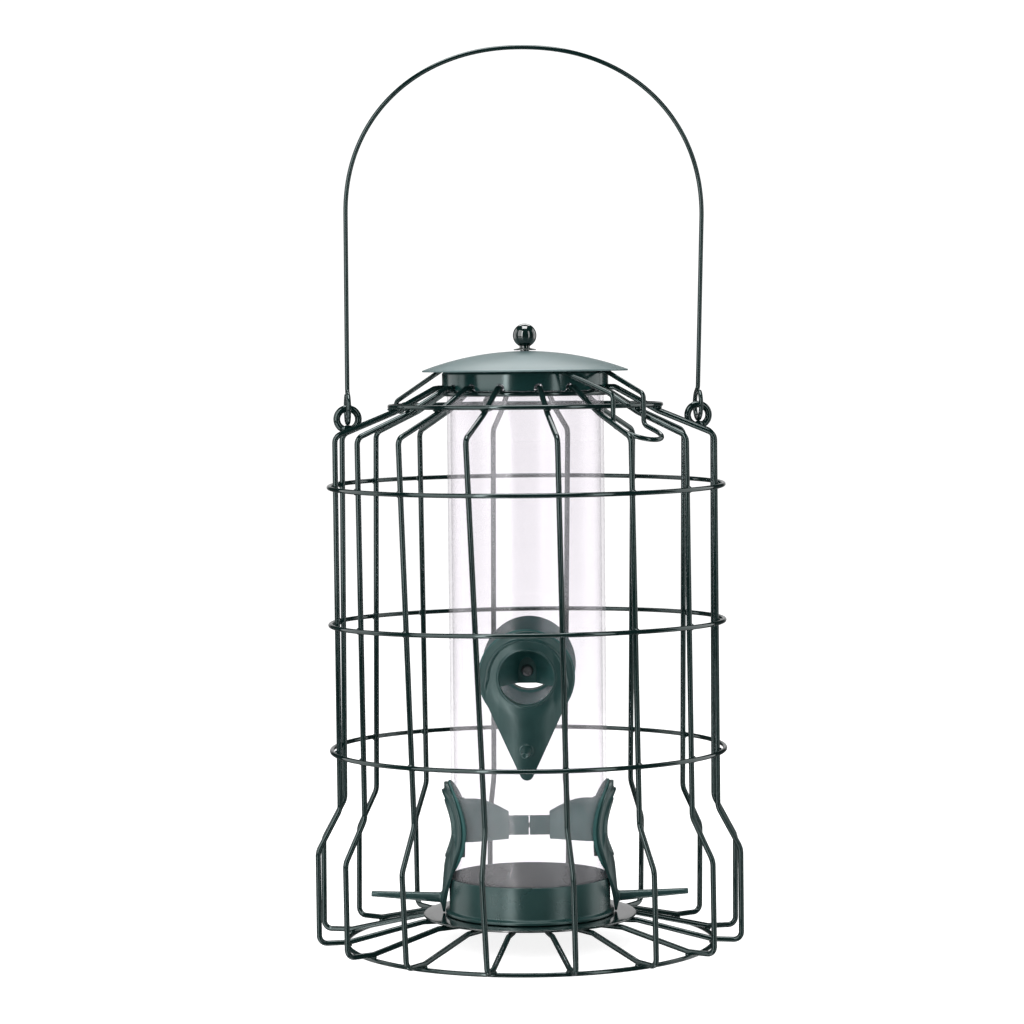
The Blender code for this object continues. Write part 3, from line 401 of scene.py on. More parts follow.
plate_paint = finish_of("plate_paint", (DEEP_GREEN, DARK_GREEN), (0.14, 0.20), 0.02, 0.0016, 0.000002,
                        {"Coat Weight": 1.0, "Coat Roughness": 0.09, "Coat IOR": 1.6})
outline = outline_of([(0, PLATE_LOW), (PLATE_RADIUS, PLATE_LOW), (PLATE_RADIUS, PLATE_HIGH), (0, PLATE_HIGH)],
                     [SHEET_EDGE, SHEET_EDGE])
plate = piece("base_plate_sheet", mesh_of("base_plate", [turned(strided(outline, 0.004))]), plate_paint)
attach(plate, "cage")
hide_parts("base_plate")


# Seed cup
# A shallow cup drawn from thin steel stands on the plate and holds the tube's foot and the lowest seed.
# Its foot is stepped, its rim is rolled smooth, and its coat is a little softer than the plate's.

CUP_INNER, CUP_OUTER = 0.03475, 0.03555
CUP_FOOT = 0.0372
CUP_LOW, CUP_FLOOR_TOP, CUP_RIM = 0.0135, 0.0145, 0.0296
CUP_STEP = CUP_LOW + 0.0020
FOOT_SLOPE = 0.0008

cup_paint = finish_of("cup_paint", ((0.0050, 0.0230, 0.0220), (0.0065, 0.0290, 0.0275)), (0.25, 0.31), 0.015, 0.0014,
                      0.000001, {"Specular IOR Level": 0.75, "Specular Tint": GREEN_CAST})
outline = outline_of(
    [(0, CUP_LOW), (CUP_FOOT, CUP_LOW), (CUP_FOOT, CUP_STEP - FOOT_SLOPE), (CUP_OUTER, CUP_STEP),
     (CUP_OUTER, CUP_RIM), (CUP_INNER, CUP_RIM), (CUP_INNER, CUP_FLOOR_TOP), (0, CUP_FLOOR_TOP)],
    [SHEET_EDGE, 0.0004, 0.0006, 0.00038, 0.00038, 0.0002])
cup = piece("seed_cup_drawn", mesh_of("seed_cup", [turned(strided(outline, 0.003))]), cup_paint)
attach(cup, "cage")
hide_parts("seed_cup")


# Seed tube
# A length of extruded clear plastic, cut square at both ends and drilled through for the four ports. It has
# a faint lilac cast, a slight milky haze from handling, and fine drawing lines along its length.

TUBE_RADIUS, TUBE_INNER = 0.03445, 0.03295
TUBE_LOW, TUBE_HIGH = 0.0148, 0.2480
HOLE_RADIUS = 0.0135
UPPER_PORT, LOWER_PORT = 0.1205, 0.0510
UPPER_TURN = -1.5
BAND_HALF = 0.0190
BAND_COLUMNS, BAND_ROWS, HOLE_ROWS = 48, 16, 10
MERGE = 0.000002
DUST_SHARE = 0.033
CLEAR_PATCH_RISE, CLEAR_PATCH_HALF = 0.0200, (0.0230, 0.0130)


def plain_wall(radius, low, high, low_turn, high_turn):
    """Cylinder wall between two heights, whose columns turn evenly from one offset to the other."""
    share = np.linspace(0, 1, max(2, math.ceil((high - low) / 0.01)))[:, None]
    columns = np.linspace(0, 360, 2 * BAND_COLUMNS, endpoint=False)[None]
    return shell(spot(columns + low_turn + (high_turn - low_turn) * share, radius, low + (high - low) * share))


def drilled_wall(radius, azimuth, height):
    """Half of a cylinder's wall with a hole in its middle, as rings that grow from the hole to the half's edge.

    A point of the edge at (a, z) has the bearing atan2(z, radius a), and the ring's points are
    (1 - share) (asin(h cos bearing / radius), h sin bearing) + share (a, z) for a hole of radius h."""
    u = np.linspace(-1, 1, BAND_COLUMNS + 1)[:-1]
    v = np.linspace(-1, 1, BAND_ROWS + 1)[:-1]
    a = np.concatenate([u, np.ones_like(v), -u, -np.ones_like(v)]) * np.pi / 2
    z = np.concatenate([-np.ones_like(u), v, np.ones_like(u), -v]) * BAND_HALF
    bearing = np.arctan2(z, a * radius * 0.6)
    hole = np.arcsin(HOLE_RADIUS * np.cos(bearing) / radius), HOLE_RADIUS * np.sin(bearing)
    share = np.linspace(0, 1, HOLE_ROWS)[:, None] ** 1.4
    turn = (1 - share) * hole[0] + share * a
    return shell(spot(azimuth + np.degrees(turn), radius, height + (1 - share) * hole[1] + share * z))


def tube_mesh():
    """Outer and inner walls, joined at the cut ends and through each hole, with their seams merged."""
    parts, holes = [], [("front", UPPER_TURN, UPPER_PORT), ("back", UPPER_TURN + 180, UPPER_PORT),
                        ("right", 90, LOWER_PORT), ("left", -90, LOWER_PORT)]
    for radius in (TUBE_RADIUS, TUBE_INNER):
        parts.append(plain_wall(radius, TUBE_LOW, LOWER_PORT - BAND_HALF, 0, 0))
        parts.append(plain_wall(radius, LOWER_PORT + BAND_HALF, UPPER_PORT - BAND_HALF, 0, UPPER_TURN))
        parts.append(plain_wall(radius, UPPER_PORT + BAND_HALF, TUBE_HIGH, UPPER_TURN, UPPER_TURN))
        parts += [drilled_wall(radius, azimuth, height) for _, azimuth, height in holes]
    columns = np.linspace(0, 360, 2 * BAND_COLUMNS, endpoint=False)[None]
    walls = np.array([[TUBE_RADIUS], [TUBE_INNER]])
    parts.append(shell(spot(columns, walls, TUBE_LOW)))
    parts.append(shell(spot(columns + UPPER_TURN, walls, TUBE_HIGH)))
    for _, azimuth, height in holes:
        rings = [drilled_wall(radius, azimuth, height) for radius in (TUBE_RADIUS, TUBE_INNER)]
        count = 2 * (BAND_COLUMNS + BAND_ROWS)
        parts.append(shell(np.stack([ring[0][:count] for ring in rings])))
    bm = bmesh.new()
    bm.from_mesh(mesh_of("tube", parts))
    bmesh.ops.remove_doubles(bm, verts=bm.verts, dist=MERGE)
    bmesh.ops.recalc_face_normals(bm, faces=bm.faces)
    data = bpy.data.meshes.new("tube")
    bm.to_mesh(data)
    bm.free()
    return data


def clear_plastic():
    """Thin clear plastic: its faces let the light straight through with a faint tint, and mirror the share
    0.04 + 0.38 facing^5 of it, after Schlick's rule. Long thin noise draws faint lines. A film of dust scatters a
    small share more, but none in a patch round each upper port."""
    made = finish_of("clear_tube", ((0.960, 0.949, 0.963), (0.972, 0.962, 0.974)), (0.22, 0.28), 0.03, 0.0015,
                     0.000001, {"Metallic": 1.0})
    nodes, links = made.node_tree.nodes, made.node_tree.links
    place = next(node for node in nodes if node.type == "TEX_COORD")
    gloss = nodes["Principled BSDF"]
    clear = nodes.new("ShaderNodeBsdfTransparent")
    links.new(gloss.inputs["Base Color"].links[0].from_socket, clear.inputs["Color"])
    slant = nodes.new("ShaderNodeLayerWeight")
    slant.inputs["Blend"].default_value = 0.5
    fifth = nodes.new("ShaderNodeMath")
    fifth.operation = "POWER"
    fifth.inputs[1].default_value = 5
    links.new(slant.outputs["Facing"], fifth.inputs[0])
    mirrored = nodes.new("ShaderNodeMath")
    mirrored.operation = "MULTIPLY_ADD"
    mirrored.inputs[1].default_value = 0.38
    mirrored.inputs[2].default_value = 0.04
    links.new(fifth.outputs["Value"], mirrored.inputs[0])
    dust = nodes.new("ShaderNodeBsdfDiffuse")
    dust.inputs["Color"].default_value = (0.90, 0.89, 0.92, 1)
    # The dust film falls to none in an oval patch round each upper port.
    offset = nodes.new("ShaderNodeVectorMath")
    offset.operation = "SUBTRACT"
    offset.inputs[1].default_value = (0, 0, UPPER_PORT + CLEAR_PATCH_RISE)
    share = nodes.new("ShaderNodeVectorMath")
    share.operation = "DIVIDE"
    share.inputs[1].default_value = (CLEAR_PATCH_HALF[0], 1, CLEAR_PATCH_HALF[1])
    flat = nodes.new("ShaderNodeVectorMath")
    flat.operation = "MULTIPLY"
    flat.inputs[1].default_value = (1, 0, 1)
    reach = nodes.new("ShaderNodeVectorMath")
    reach.operation = "LENGTH"
    film = nodes.new("ShaderNodeMapRange")
    film.inputs["From Min"].default_value = 0.85
    film.inputs["From Max"].default_value = 1.15
    film.inputs["To Max"].default_value = DUST_SHARE
    links.new(place.outputs["Object"], offset.inputs[0])
    links.new(offset.outputs["Vector"], share.inputs[0])
    links.new(share.outputs["Vector"], flat.inputs[0])
    links.new(flat.outputs["Vector"], reach.inputs[0])
    links.new(reach.outputs["Value"], film.inputs["Value"])
    layered = clear.outputs["BSDF"]
    for amount, over in ((film.outputs["Result"], dust), (mirrored.outputs["Value"], gloss)):
        mixed = nodes.new("ShaderNodeMixShader")
        links.new(amount, mixed.inputs["Fac"])
        links.new(layered, mixed.inputs[1])
        links.new(over.outputs["BSDF"], mixed.inputs[2])
        layered = mixed.outputs["Shader"]
    links.new(layered, nodes["Material Output"].inputs["Surface"])
    stretch = nodes.new("ShaderNodeMapping")
    stretch.inputs["Scale"].default_value = (1.0, 1.0, 0.02)
    links.new(place.outputs["Object"], stretch.inputs["Vector"])
    for node in nodes:
        if node.type == "TEX_NOISE":
            links.new(stretch.outputs["Vector"], node.inputs["Vector"])
    return made


tube = piece("tube_clear", tube_mesh(), clear_plastic())
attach(tube, "cage")
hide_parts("tube")


# Port hoods
# Each port is one dark green moulding: a saddle on the tube's face, a collar through its wall, and inside
# it a hood that keeps seed from pouring out. A strap runs to the tube's axis, where the opposite hood meets it.

SADDLE_INNER = TUBE_RADIUS + GAP
SADDLE_OUTER = SADDLE_INNER + 0.0008
SADDLE_RIM = 0.0210
SADDLE_EDGE = 0.00025
BORE_RADIUS, COLLAR_RADIUS = 0.0120, 0.0132
COLLAR_END = 0.0285
HOOD_END, HOOD_CREST, HOOD_MOUTH = 0.0090, 0.0250, 0.0295
HOOD_WALL, HOOD_EDGE = 0.0010, 0.0047
HOOD_END_WIDTH, HOOD_END_ROOF = 0.0044, 0.0070
HOOD_INSET = 0.0005
STRAP_HALF_HEIGHT, STRAP_HALF_WIDTH, STRAP_RISE = 0.00405, 0.0025, 0.0008
STRAP_SPLIT_HALF = 0.00022
STRAP_EDGE = 0.0004
SCREW_RADIUS = 0.0012
PORTS = (("front", UPPER_TURN, UPPER_PORT), ("back", UPPER_TURN + 180, UPPER_PORT),
         ("right", 90.0, LOWER_PORT), ("left", -90.0, LOWER_PORT))
SADDLE_STEPS = 96
HOOD_ARCH_STEPS, HOOD_STEPS = 28, 16
CUT_RUN = 0.004
WELD_DISTANCE = 0.00001


def solid_of(shells):
    """Mesh of closed shells, for a cut or a join."""
    return mesh_of("solid", shells)


def joined(base, steps):
    """Mesh of a base after exact Boolean steps, each followed by a merge of points that fell together."""
    body = bpy.data.objects.new("body", base)
    bpy.context.scene.collection.objects.link(body)
    helpers = []
    for operation, data in steps:
        helper = bpy.data.objects.new("helper", data)
        bpy.context.scene.collection.objects.link(helper)
        helpers.append(helper)
        change = body.modifiers.new("change", "BOOLEAN")
        change.operation, change.object = operation, helper
        body.modifiers.new("merge", "WELD").merge_threshold = WELD_DISTANCE
    made = bpy.data.meshes.new_from_object(body.evaluated_get(bpy.context.evaluated_depsgraph_get()))
    for spare in helpers + [body]:
        bpy.data.objects.remove(spare)
    return made


def capped(grid):
    """Rows of a grid with a last row at each end, shrunk to the middle of its own end row."""
    middles = [np.broadcast_to(grid[end].mean(axis=0), grid[end].shape)[None] for end in (0, -1)]
    return np.concatenate([middles[0], grid, middles[1]])


def rounded_box(low, high, edge, steps=3):
    """Rod along X with a rectangular section whose four corners are quarter circles of the edge radius."""
    quarter = np.linspace(0, np.pi / 2, steps + 1)
    across, up = [], []
    for turn, (y, z) in enumerate(((1, 1), (0, 1), (0, 0), (1, 0))):
        across.append((high[1] - edge if y else low[1] + edge) + edge * np.cos(quarter + turn * np.pi / 2))
        up.append((high[2] - edge if z else low[2] + edge) + edge * np.sin(quarter + turn * np.pi / 2))
    across, up = np.concatenate(across), np.concatenate(up)
    rows = [np.stack([np.full_like(across, reach), across, up], axis=-1) for reach in (low[0], high[0])]
    return shell(capped(np.array(rows)))


def rod_along(reaches, radii, sides=32, flats=None):
    """Rod along X: at each reach a circle of its radius, squashed in height by its flat share."""
    flats = np.ones(len(reaches)) if flats is None else np.asarray(flats)
    turn = np.linspace(0, 2 * np.pi, sides, endpoint=False)[None]
    reaches, radii = (np.asarray(values, float)[:, None] for values in (reaches, radii))
    across, up = radii * np.cos(turn), radii * flats[:, None] * np.sin(turn)
    return shell(capped(np.stack(np.broadcast_arrays(reaches, across, up), axis=-1)))


def moved(shells, offset):
    """The same shells, all points moved by an offset."""
    return [(points + np.asarray(offset), faces) for points, faces in shells]


def saddle_shell():
    """Ring of sections from the bore out to the rim and back: each point lies on a cylinder round the tube's
    axis, at x = sqrt(radius^2 - across^2), and the collar's end is a flat ring."""
    turn = np.linspace(0, 2 * np.pi, SADDLE_STEPS, endpoint=False)[:, None]
    lip = np.linspace(0, np.pi / 2, 5)
    sizes = [BORE_RADIUS, BORE_RADIUS + 0.0015, 0.0160, 0.0185]
    depths = [SADDLE_OUTER] * 4
    sizes += list(SADDLE_RIM - SADDLE_EDGE + SADDLE_EDGE * np.sin(lip))
    depths += list(SADDLE_OUTER - SADDLE_EDGE + SADDLE_EDGE * np.cos(lip))
    sizes += [SADDLE_RIM, 0.0165, COLLAR_RADIUS]
    depths += [SADDLE_INNER] * 3
    sizes, depths = np.array(sizes)[None], np.array(depths)[None]
    across, up = sizes * np.cos(turn), sizes * np.sin(turn)
    grid = np.stack([np.sqrt(depths ** 2 - across ** 2), across, up], axis=-1)
    ends = np.stack(np.broadcast_arrays(COLLAR_END, np.array([[COLLAR_RADIUS, BORE_RADIUS]]) * np.cos(turn),
                                        np.array([[COLLAR_RADIUS, BORE_RADIUS]]) * np.sin(turn)), axis=-1)
    return shell(np.concatenate([grid, ends], axis=1), along=True)


def hood_shell(start, end, inset, lower_edge):
    """Hood form: straight sides under a half ellipse. Its half width grows evenly and its roof by a quarter
    sine from the strap to the crest, so it flares like a scoop."""
    reaches = np.append(np.linspace(start, HOOD_CREST, HOOD_STEPS), end)[:, None]
    share = np.minimum((reaches - HOOD_END) / (HOOD_CREST - HOOD_END), 1)
    mouth = COLLAR_RADIUS - HOOD_INSET
    width = HOOD_END_WIDTH + (mouth - HOOD_END_WIDTH) * share - inset
    roof = HOOD_END_ROOF + (mouth - HOOD_END_ROOF) * np.sin(np.pi / 2 * share) - inset
    turn = np.linspace(0, np.pi, HOOD_ARCH_STEPS)[None]
    across = np.concatenate([width * np.cos(turn), -width, width], axis=1)
    up = np.concatenate([roof * np.sin(turn), 0 * width - lower_edge, 0 * width - lower_edge], axis=1)
    return shell(capped(np.stack(np.broadcast_arrays(reaches, across, up), axis=-1)))


def in_place(data, azimuth, height):
    """A copy of a port's mesh, turned from local X to its azimuth and raised to its height."""
    made = data.copy()
    made.transform(Matrix.Translation((0, 0, height)) @ Matrix.Rotation(math.radians(azimuth - 90), 4, "Z"))
    return made


outer = hood_shell(HOOD_END, HOOD_MOUTH, 0, HOOD_EDGE)
inner = hood_shell(HOOD_END + HOOD_WALL, HOOD_MOUTH + CUT_RUN, HOOD_WALL, HOOD_EDGE + CUT_RUN)
scoop = joined(solid_of([outer]), [("DIFFERENCE", solid_of([inner]))])
strap = rounded_box((STRAP_SPLIT_HALF, -STRAP_HALF_WIDTH, STRAP_RISE - STRAP_HALF_HEIGHT),
                    (HOOD_END + 0.0005, STRAP_HALF_WIDTH, STRAP_RISE + STRAP_HALF_HEIGHT), STRAP_EDGE)
bore = moved([rod_along([-CUT_RUN, HOOD_END + HOOD_WALL + CUT_RUN], [SCREW_RADIUS + GAP] * 2)], (0, 0, STRAP_RISE))
hood_data = joined(scoop, [("UNION", solid_of([saddle_shell()])), ("UNION", solid_of([strap])),
                           ("DIFFERENCE", solid_of(bore))])
# Same plastic as the plates, but its tones are set lighter: painted light on the hoods and collars.
hood_plastic = finish_of("hood_plastic", ((0.0080, 0.050, 0.048), (0.0095, 0.060, 0.057)), (0.46, 0.54), 0.008,
                         0.0004, 0.000003, {"Specular IOR Level": 0.45, "Specular Tint": GREEN_CAST})
for name, azimuth, height in PORTS:
    hood = piece(f"hood_{name}", in_place(hood_data, azimuth, height), hood_plastic, 30.0)
    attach(hood, "cage")
    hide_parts(f"port_hood_{name}")


# Port plates
# A teardrop of the same plastic clips over each saddle from outside. It has a lip round its opening and a bead
# round its crown, outside which the edge lies lower. The perch is moulded in one with it and tapers to its tip.

PLATE_BIG, PLATE_TIP = 0.0204, 0.0029
OPENING_RADIUS = 0.0119
PLATE_THICK, PLATE_THINNING, PLATE_TIP_THICK = 0.0021, 0.0010, 0.0009
TONGUE = 0.0040
MOUTH_LIP, MOUTH_LIP_WIDTH = 0.0003, 0.0006
BAND_STEP, BAND_WIDTH, BAND_FADE = 0.0005, 0.0031, 0.0090
BEAD_RISE, BEAD_SPREAD = 0.00080, 0.00056
PLATE_SLOPE = 0.0005
DISH, DISH_REACH = 0.0009, 0.0036
UPPER_REACH = 0.0441
LOWER_REACH = LOWER_PORT - CUP_LOW
LEAN_DROP = 0.0180
PERCH_DROP, PERCH_LENGTH = 0.0310, 0.0310
PERCH_ROOT, PERCH_TIP_WIDTH, PERCH_TIP_HEIGHT = 0.0023, 0.0015, 0.00125
PERCH_RISE = 3.5
PERCH_FILLET = 0.0009
PLATE_STEPS, PLATE_FLANK = 84, 22
PLATE_ACROSS = 46
PLATE_LIP = 0.00034


def teardrop(reach):
    """Matching points of the opening and the rim. The rim is a big circle and a small one at the tip, joined
    by the two lines that touch both, whose slant is asin((big - small) / (reach - small))."""
    slant = math.asin((PLATE_BIG - PLATE_TIP) / (reach - PLATE_TIP))
    crown = np.linspace(-slant, np.pi + slant, PLATE_STEPS)
    tip = np.linspace(np.pi + slant, 2 * np.pi - slant, 14)
    big = PLATE_BIG * np.stack([np.cos(crown), np.sin(crown)], axis=-1)
    small = PLATE_TIP * np.stack([np.cos(tip), np.sin(tip)], axis=-1) + (0, PLATE_TIP - reach)
    share = np.linspace(0, 1, PLATE_FLANK + 2)[1:-1, None]
    rim = np.vstack([big, big[-1] + share * (small[0] - big[-1]), small, small[-1] + share * (big[0] - small[-1])])
    below = np.linspace(np.pi + slant, 2 * np.pi - slant, len(rim) - len(crown) + 2)[1:-1]
    bearing = np.concatenate([crown, below])
    return OPENING_RADIUS * np.stack([np.cos(bearing), np.sin(bearing)], axis=-1), rim


def eased(share):
    """Smooth rise from 0 to 1: (1 - cos(pi share)) / 2, for shares cut to that range."""
    return (1 - np.cos(np.pi * np.clip(share, 0, 1))) / 2


def plate_shell(reach, lean):
    """Plate as sections from opening to rim. Its thickness falls with the square of the distance across and
    over the tongue, and by a dish that fades from the opening. A lip is added there, and outside the crown's
    bead, a bell curve, the band's step is taken off. Both run out down the flanks. The plate leans away below
    its waist, evenly with the drop."""
    inner, outer = (points[:, None] for points in teardrop(reach))
    span = np.linalg.norm(outer - inner, axis=-1, keepdims=True)[..., 0]
    share = (1 - np.cos(np.linspace(0, np.pi, PLATE_ACROSS)))[None] / 2
    distance = share * span
    flat = inner + (outer - inner) * share[..., None]
    up = flat[..., 1]
    tongue = np.clip((up + reach) / TONGUE, 0, 1)
    flank = np.clip((flat[..., 0] / OPENING_RADIUS) ** 2, 0, 1)
    height = PLATE_TIP_THICK + (PLATE_THICK - PLATE_THINNING * flank - PLATE_TIP_THICK) * tongue
    height -= DISH * np.exp(-(distance / DISH_REACH) ** 2)
    height += MOUTH_LIP * eased(1 - (distance - MOUTH_LIP_WIDTH) / PLATE_SLOPE)
    fade = np.clip(1 + outer[..., 1] / BAND_FADE, 0, 1)
    beyond = PLATE_SLOPE + (BAND_WIDTH - PLATE_SLOPE) * fade - (span - distance)
    height -= BAND_STEP * fade * eased(1 + beyond / PLATE_SLOPE)
    height += BEAD_RISE * fade * np.exp(-((beyond + PLATE_SLOPE) / BEAD_SPREAD) ** 2)
    edge = np.minimum(distance, span - distance)
    lip = PLATE_LIP - np.sqrt(np.clip(PLATE_LIP ** 2 - np.clip(PLATE_LIP - edge, 0, None) ** 2, 0, None))
    front = SADDLE_OUTER + GAP + height - lip
    back_share = np.array([[1.0, 0.98, 0.75, 0.5, 0.25, 0.02, 0.0]])
    behind = inner + (outer - inner) * back_share[..., None]
    across = np.concatenate([flat[..., 0], behind[..., 0]], axis=1)
    up = np.concatenate([up, behind[..., 1]], axis=1)
    depth = np.concatenate([front, np.full(behind.shape[:2], SADDLE_OUTER + GAP)], axis=1)
    reach_out = np.sqrt(depth ** 2 - across ** 2) + lean * np.clip((-up - LEAN_DROP) / (reach - LEAN_DROP), 0, 1)
    return shell(np.stack([reach_out, across, up], axis=-1), along=True)


def perch_shell(root):
    """Perch along X: a fillet at the root, an even taper, and a tip rounded at its edge with a shallow dimple."""
    fillet = np.linspace(0, np.pi / 2, 6)
    reaches = np.concatenate([[-0.0008], PERCH_FILLET * (1 - np.cos(fillet))])
    radii = np.concatenate([[PERCH_ROOT + PERCH_FILLET], PERCH_ROOT + PERCH_FILLET * (1 - np.sin(fillet))])
    run = np.linspace(0, 1, 9)[1:]
    reaches = np.concatenate([reaches, PERCH_FILLET + (PERCH_LENGTH - PERCH_FILLET) * run])
    radii = np.concatenate([radii, PERCH_ROOT + (PERCH_TIP_WIDTH - PERCH_ROOT) * run])
    reaches[-1] -= 0.0003
    reaches = np.append(reaches, PERCH_LENGTH + np.array([-0.00009, 0.0, -0.0001, -0.00018]))
    radii = np.append(radii, PERCH_TIP_WIDTH * np.array([0.93, 0.78, 0.62, 0.30]))
    flats = 1 - (1 - PERCH_TIP_HEIGHT / PERCH_TIP_WIDTH) * np.clip(reaches / PERCH_LENGTH, 0, 1)
    points, faces = rod_along(reaches, radii, 28, flats)
    rise = math.radians(PERCH_RISE)
    turn = np.array([[math.cos(rise), 0, math.sin(rise)], [0, 1, 0], [-math.sin(rise), 0, math.cos(rise)]])
    return points @ turn + np.array([root, 0, -PERCH_DROP]), faces


plate_plastic = finish_of("plate_plastic", ((0.0036, 0.0215, 0.0210), (0.0048, 0.0265, 0.0255)), (0.30, 0.36), 0.008,
                          0.0004, 0.0000015, {"Specular IOR Level": 0.6, "Specular Tint": GREEN_CAST})
for name, azimuth, height in PORTS:
    reach, lean = (UPPER_REACH, 0.0) if height == UPPER_PORT else (LOWER_REACH, CUP_FOOT - SADDLE_OUTER)
    root = SADDLE_OUTER + GAP + PLATE_THICK + lean * (PERCH_DROP - LEAN_DROP) / (reach - LEAN_DROP)
    data = joined(solid_of([plate_shell(reach, lean)]), [("UNION", solid_of([perch_shell(root)]))])
    plate = piece(f"perch_plate_{name}", in_place(data, azimuth, height), plate_plastic, 32.0)
    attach(plate, "cage")
    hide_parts(f"port_plate_{name}")


# Strap screws
# A plated pan head screw passes through each pair of straps and draws the two hoods together, which clamps
# their saddles to the tube. A cross recess takes the driver.

SCREW_HEAD_RADIUS, SCREW_HEAD_HEIGHT = 0.0025, 0.0015
RECESS_HALF_LENGTH, RECESS_HALF_WIDTH, RECESS_DEPTH = 0.00135, 0.00032, 0.0008
THREAD_PITCH, THREAD_DEPTH = 0.0006, 0.00014

seat = HOOD_END + HOOD_WALL + GAP
crown = np.linspace(0, np.pi / 2, 9)
reaches = np.concatenate([[seat, seat + 0.0003], seat + 0.0003 + (SCREW_HEAD_HEIGHT - 0.0003) * np.sin(crown)[1:-1],
                          [seat + SCREW_HEAD_HEIGHT]])
radii = np.concatenate([[SCREW_HEAD_RADIUS, SCREW_HEAD_RADIUS], SCREW_HEAD_RADIUS * np.cos(crown)[1:-1] ** 0.5,
                        [0.0006]])
head = solid_of([rod_along(reaches, radii, 40)])
steps = np.arange(-HOOD_END, seat + 0.0005, THREAD_PITCH / 4)
shank = rod_along(steps, SCREW_RADIUS - THREAD_DEPTH * (1 - np.cos(2 * np.pi * steps / THREAD_PITCH)) / 2, 24)
recess = []
for wide, tall in ((RECESS_HALF_LENGTH, RECESS_HALF_WIDTH), (RECESS_HALF_WIDTH, RECESS_HALF_LENGTH)):
    recess.append(("DIFFERENCE", solid_of([rounded_box(
        (seat + SCREW_HEAD_HEIGHT - RECESS_DEPTH, -wide, -tall), (seat + SCREW_HEAD_HEIGHT + CUT_RUN, wide, tall),
        0.0001)])))
screw_data = joined(head, [("UNION", solid_of([shank]))] + recess)
screw_data.transform(Matrix.Translation((0, 0, STRAP_RISE)))
steel = finish_of("plated_steel", ((0.20, 0.20, 0.21), (0.28, 0.28, 0.29)), (0.42, 0.55), 0.002, 0.0002, 0.000003,
                  {"Metallic": 1.0})
for name, (_, azimuth, height) in zip(("upper", "lower"), PORTS[::2]):
    screw = piece(f"pan_screw_{name}", in_place(screw_data, azimuth, height), steel)
    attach(screw, "cage")
    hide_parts(f"strap_screw_{name}")


# Lid cap
# A shallow pressed cap closes the tube's mouth. Its skirt has a round-topped notch over each cage wire, so it
# drops between them, and its deep gloss coat mirrors the soft boxes as upright pale bands.

CAP_RADIUS, CAP_SHEET = 0.0365, 0.0006
CAP_LOW = NECK_RING_HEIGHT + HOOP_WIRE_RADIUS + GAP
CAP_HIGH = CAP_LOW + 0.00815
CAP_CORNER = 0.0010
NOTCH_HALF, NOTCH_RISE = WIRE_RADIUS + 0.0007, 0.0001
STUD_BORE = 0.0023
CAP_STEPS = 192
SKIRT_EDGE = 0.00015

inner_radius, below = CAP_RADIUS - CAP_SHEET, CAP_HIGH - CAP_SHEET
outline = outline_of(
    [(STUD_BORE, CAP_HIGH), (CAP_RADIUS, CAP_HIGH), (CAP_RADIUS, CAP_LOW), (inner_radius, CAP_LOW),
     (inner_radius, below), (STUD_BORE, below)],
    [CAP_CORNER, SKIRT_EDGE, SKIRT_EDGE, CAP_CORNER - CAP_SHEET])
notches = []
for index in range(WIRE_COUNT):
    azimuth = float(wire_azimuth(index, NECK_HEIGHT))
    turn = np.linspace(0, np.pi, 17)
    across = np.concatenate([NOTCH_HALF * np.cos(turn), [-NOTCH_HALF, NOTCH_HALF]])
    up = np.concatenate([NECK_HEIGHT + NOTCH_RISE + NOTCH_HALF * np.sin(turn), [CAP_LOW - CUT_RUN] * 2])
    rows = [spot(azimuth, reach, 0.0) + across[:, None] * spot(azimuth + 90, 1.0, 0.0) + up[:, None] * UP
            for reach in (inner_radius - CUT_RUN, CAP_RADIUS + CUT_RUN)]
    notches.append(shell(capped(np.array(rows))))
cap_paint = finish_of("cap_paint", ((0.0030, 0.0185, 0.0175), (0.0040, 0.0225, 0.0210)), (0.14, 0.19), 0.02, 0.0015,
                      0.000001, {"Specular IOR Level": 0.6, "Specular Tint": GREEN_CAST})
cap_data = joined(solid_of([turned(outline, CAP_STEPS, closed=True)]), [("DIFFERENCE", solid_of(notches))])
cap = piece("cap_pressed", cap_data, cap_paint, 40.0)
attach(cap, "lid")
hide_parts("lid_cap")


# Lid dome
# The rain cover is a wide shallow dome spun from sheet, with its cut edge rounded over. It is finished in a
# satin coat that scatters the light, and its base tones are set pale as painted sheen, so it looks much paler than
# the gloss parts beside it.

DOME_RADIUS, DOME_RISE, DOME_SHEET, DOME_STANDOFF = 0.0452, 0.0083, 0.0008, 0.0005
DOME_CURVE = (DOME_RADIUS ** 2 + DOME_RISE ** 2) / (2 * DOME_RISE)
LATCH_RADIUS = 0.00105
LATCH_HEIGHT = CAP_HIGH + GAP + LATCH_RADIUS
DOME_ROWS = 28


def dome_drop(radius):
    """Fall of a sphere's cap from its apex: curve - sqrt(curve^2 - radius^2)."""
    return DOME_CURVE - np.sqrt(DOME_CURVE ** 2 - radius ** 2)


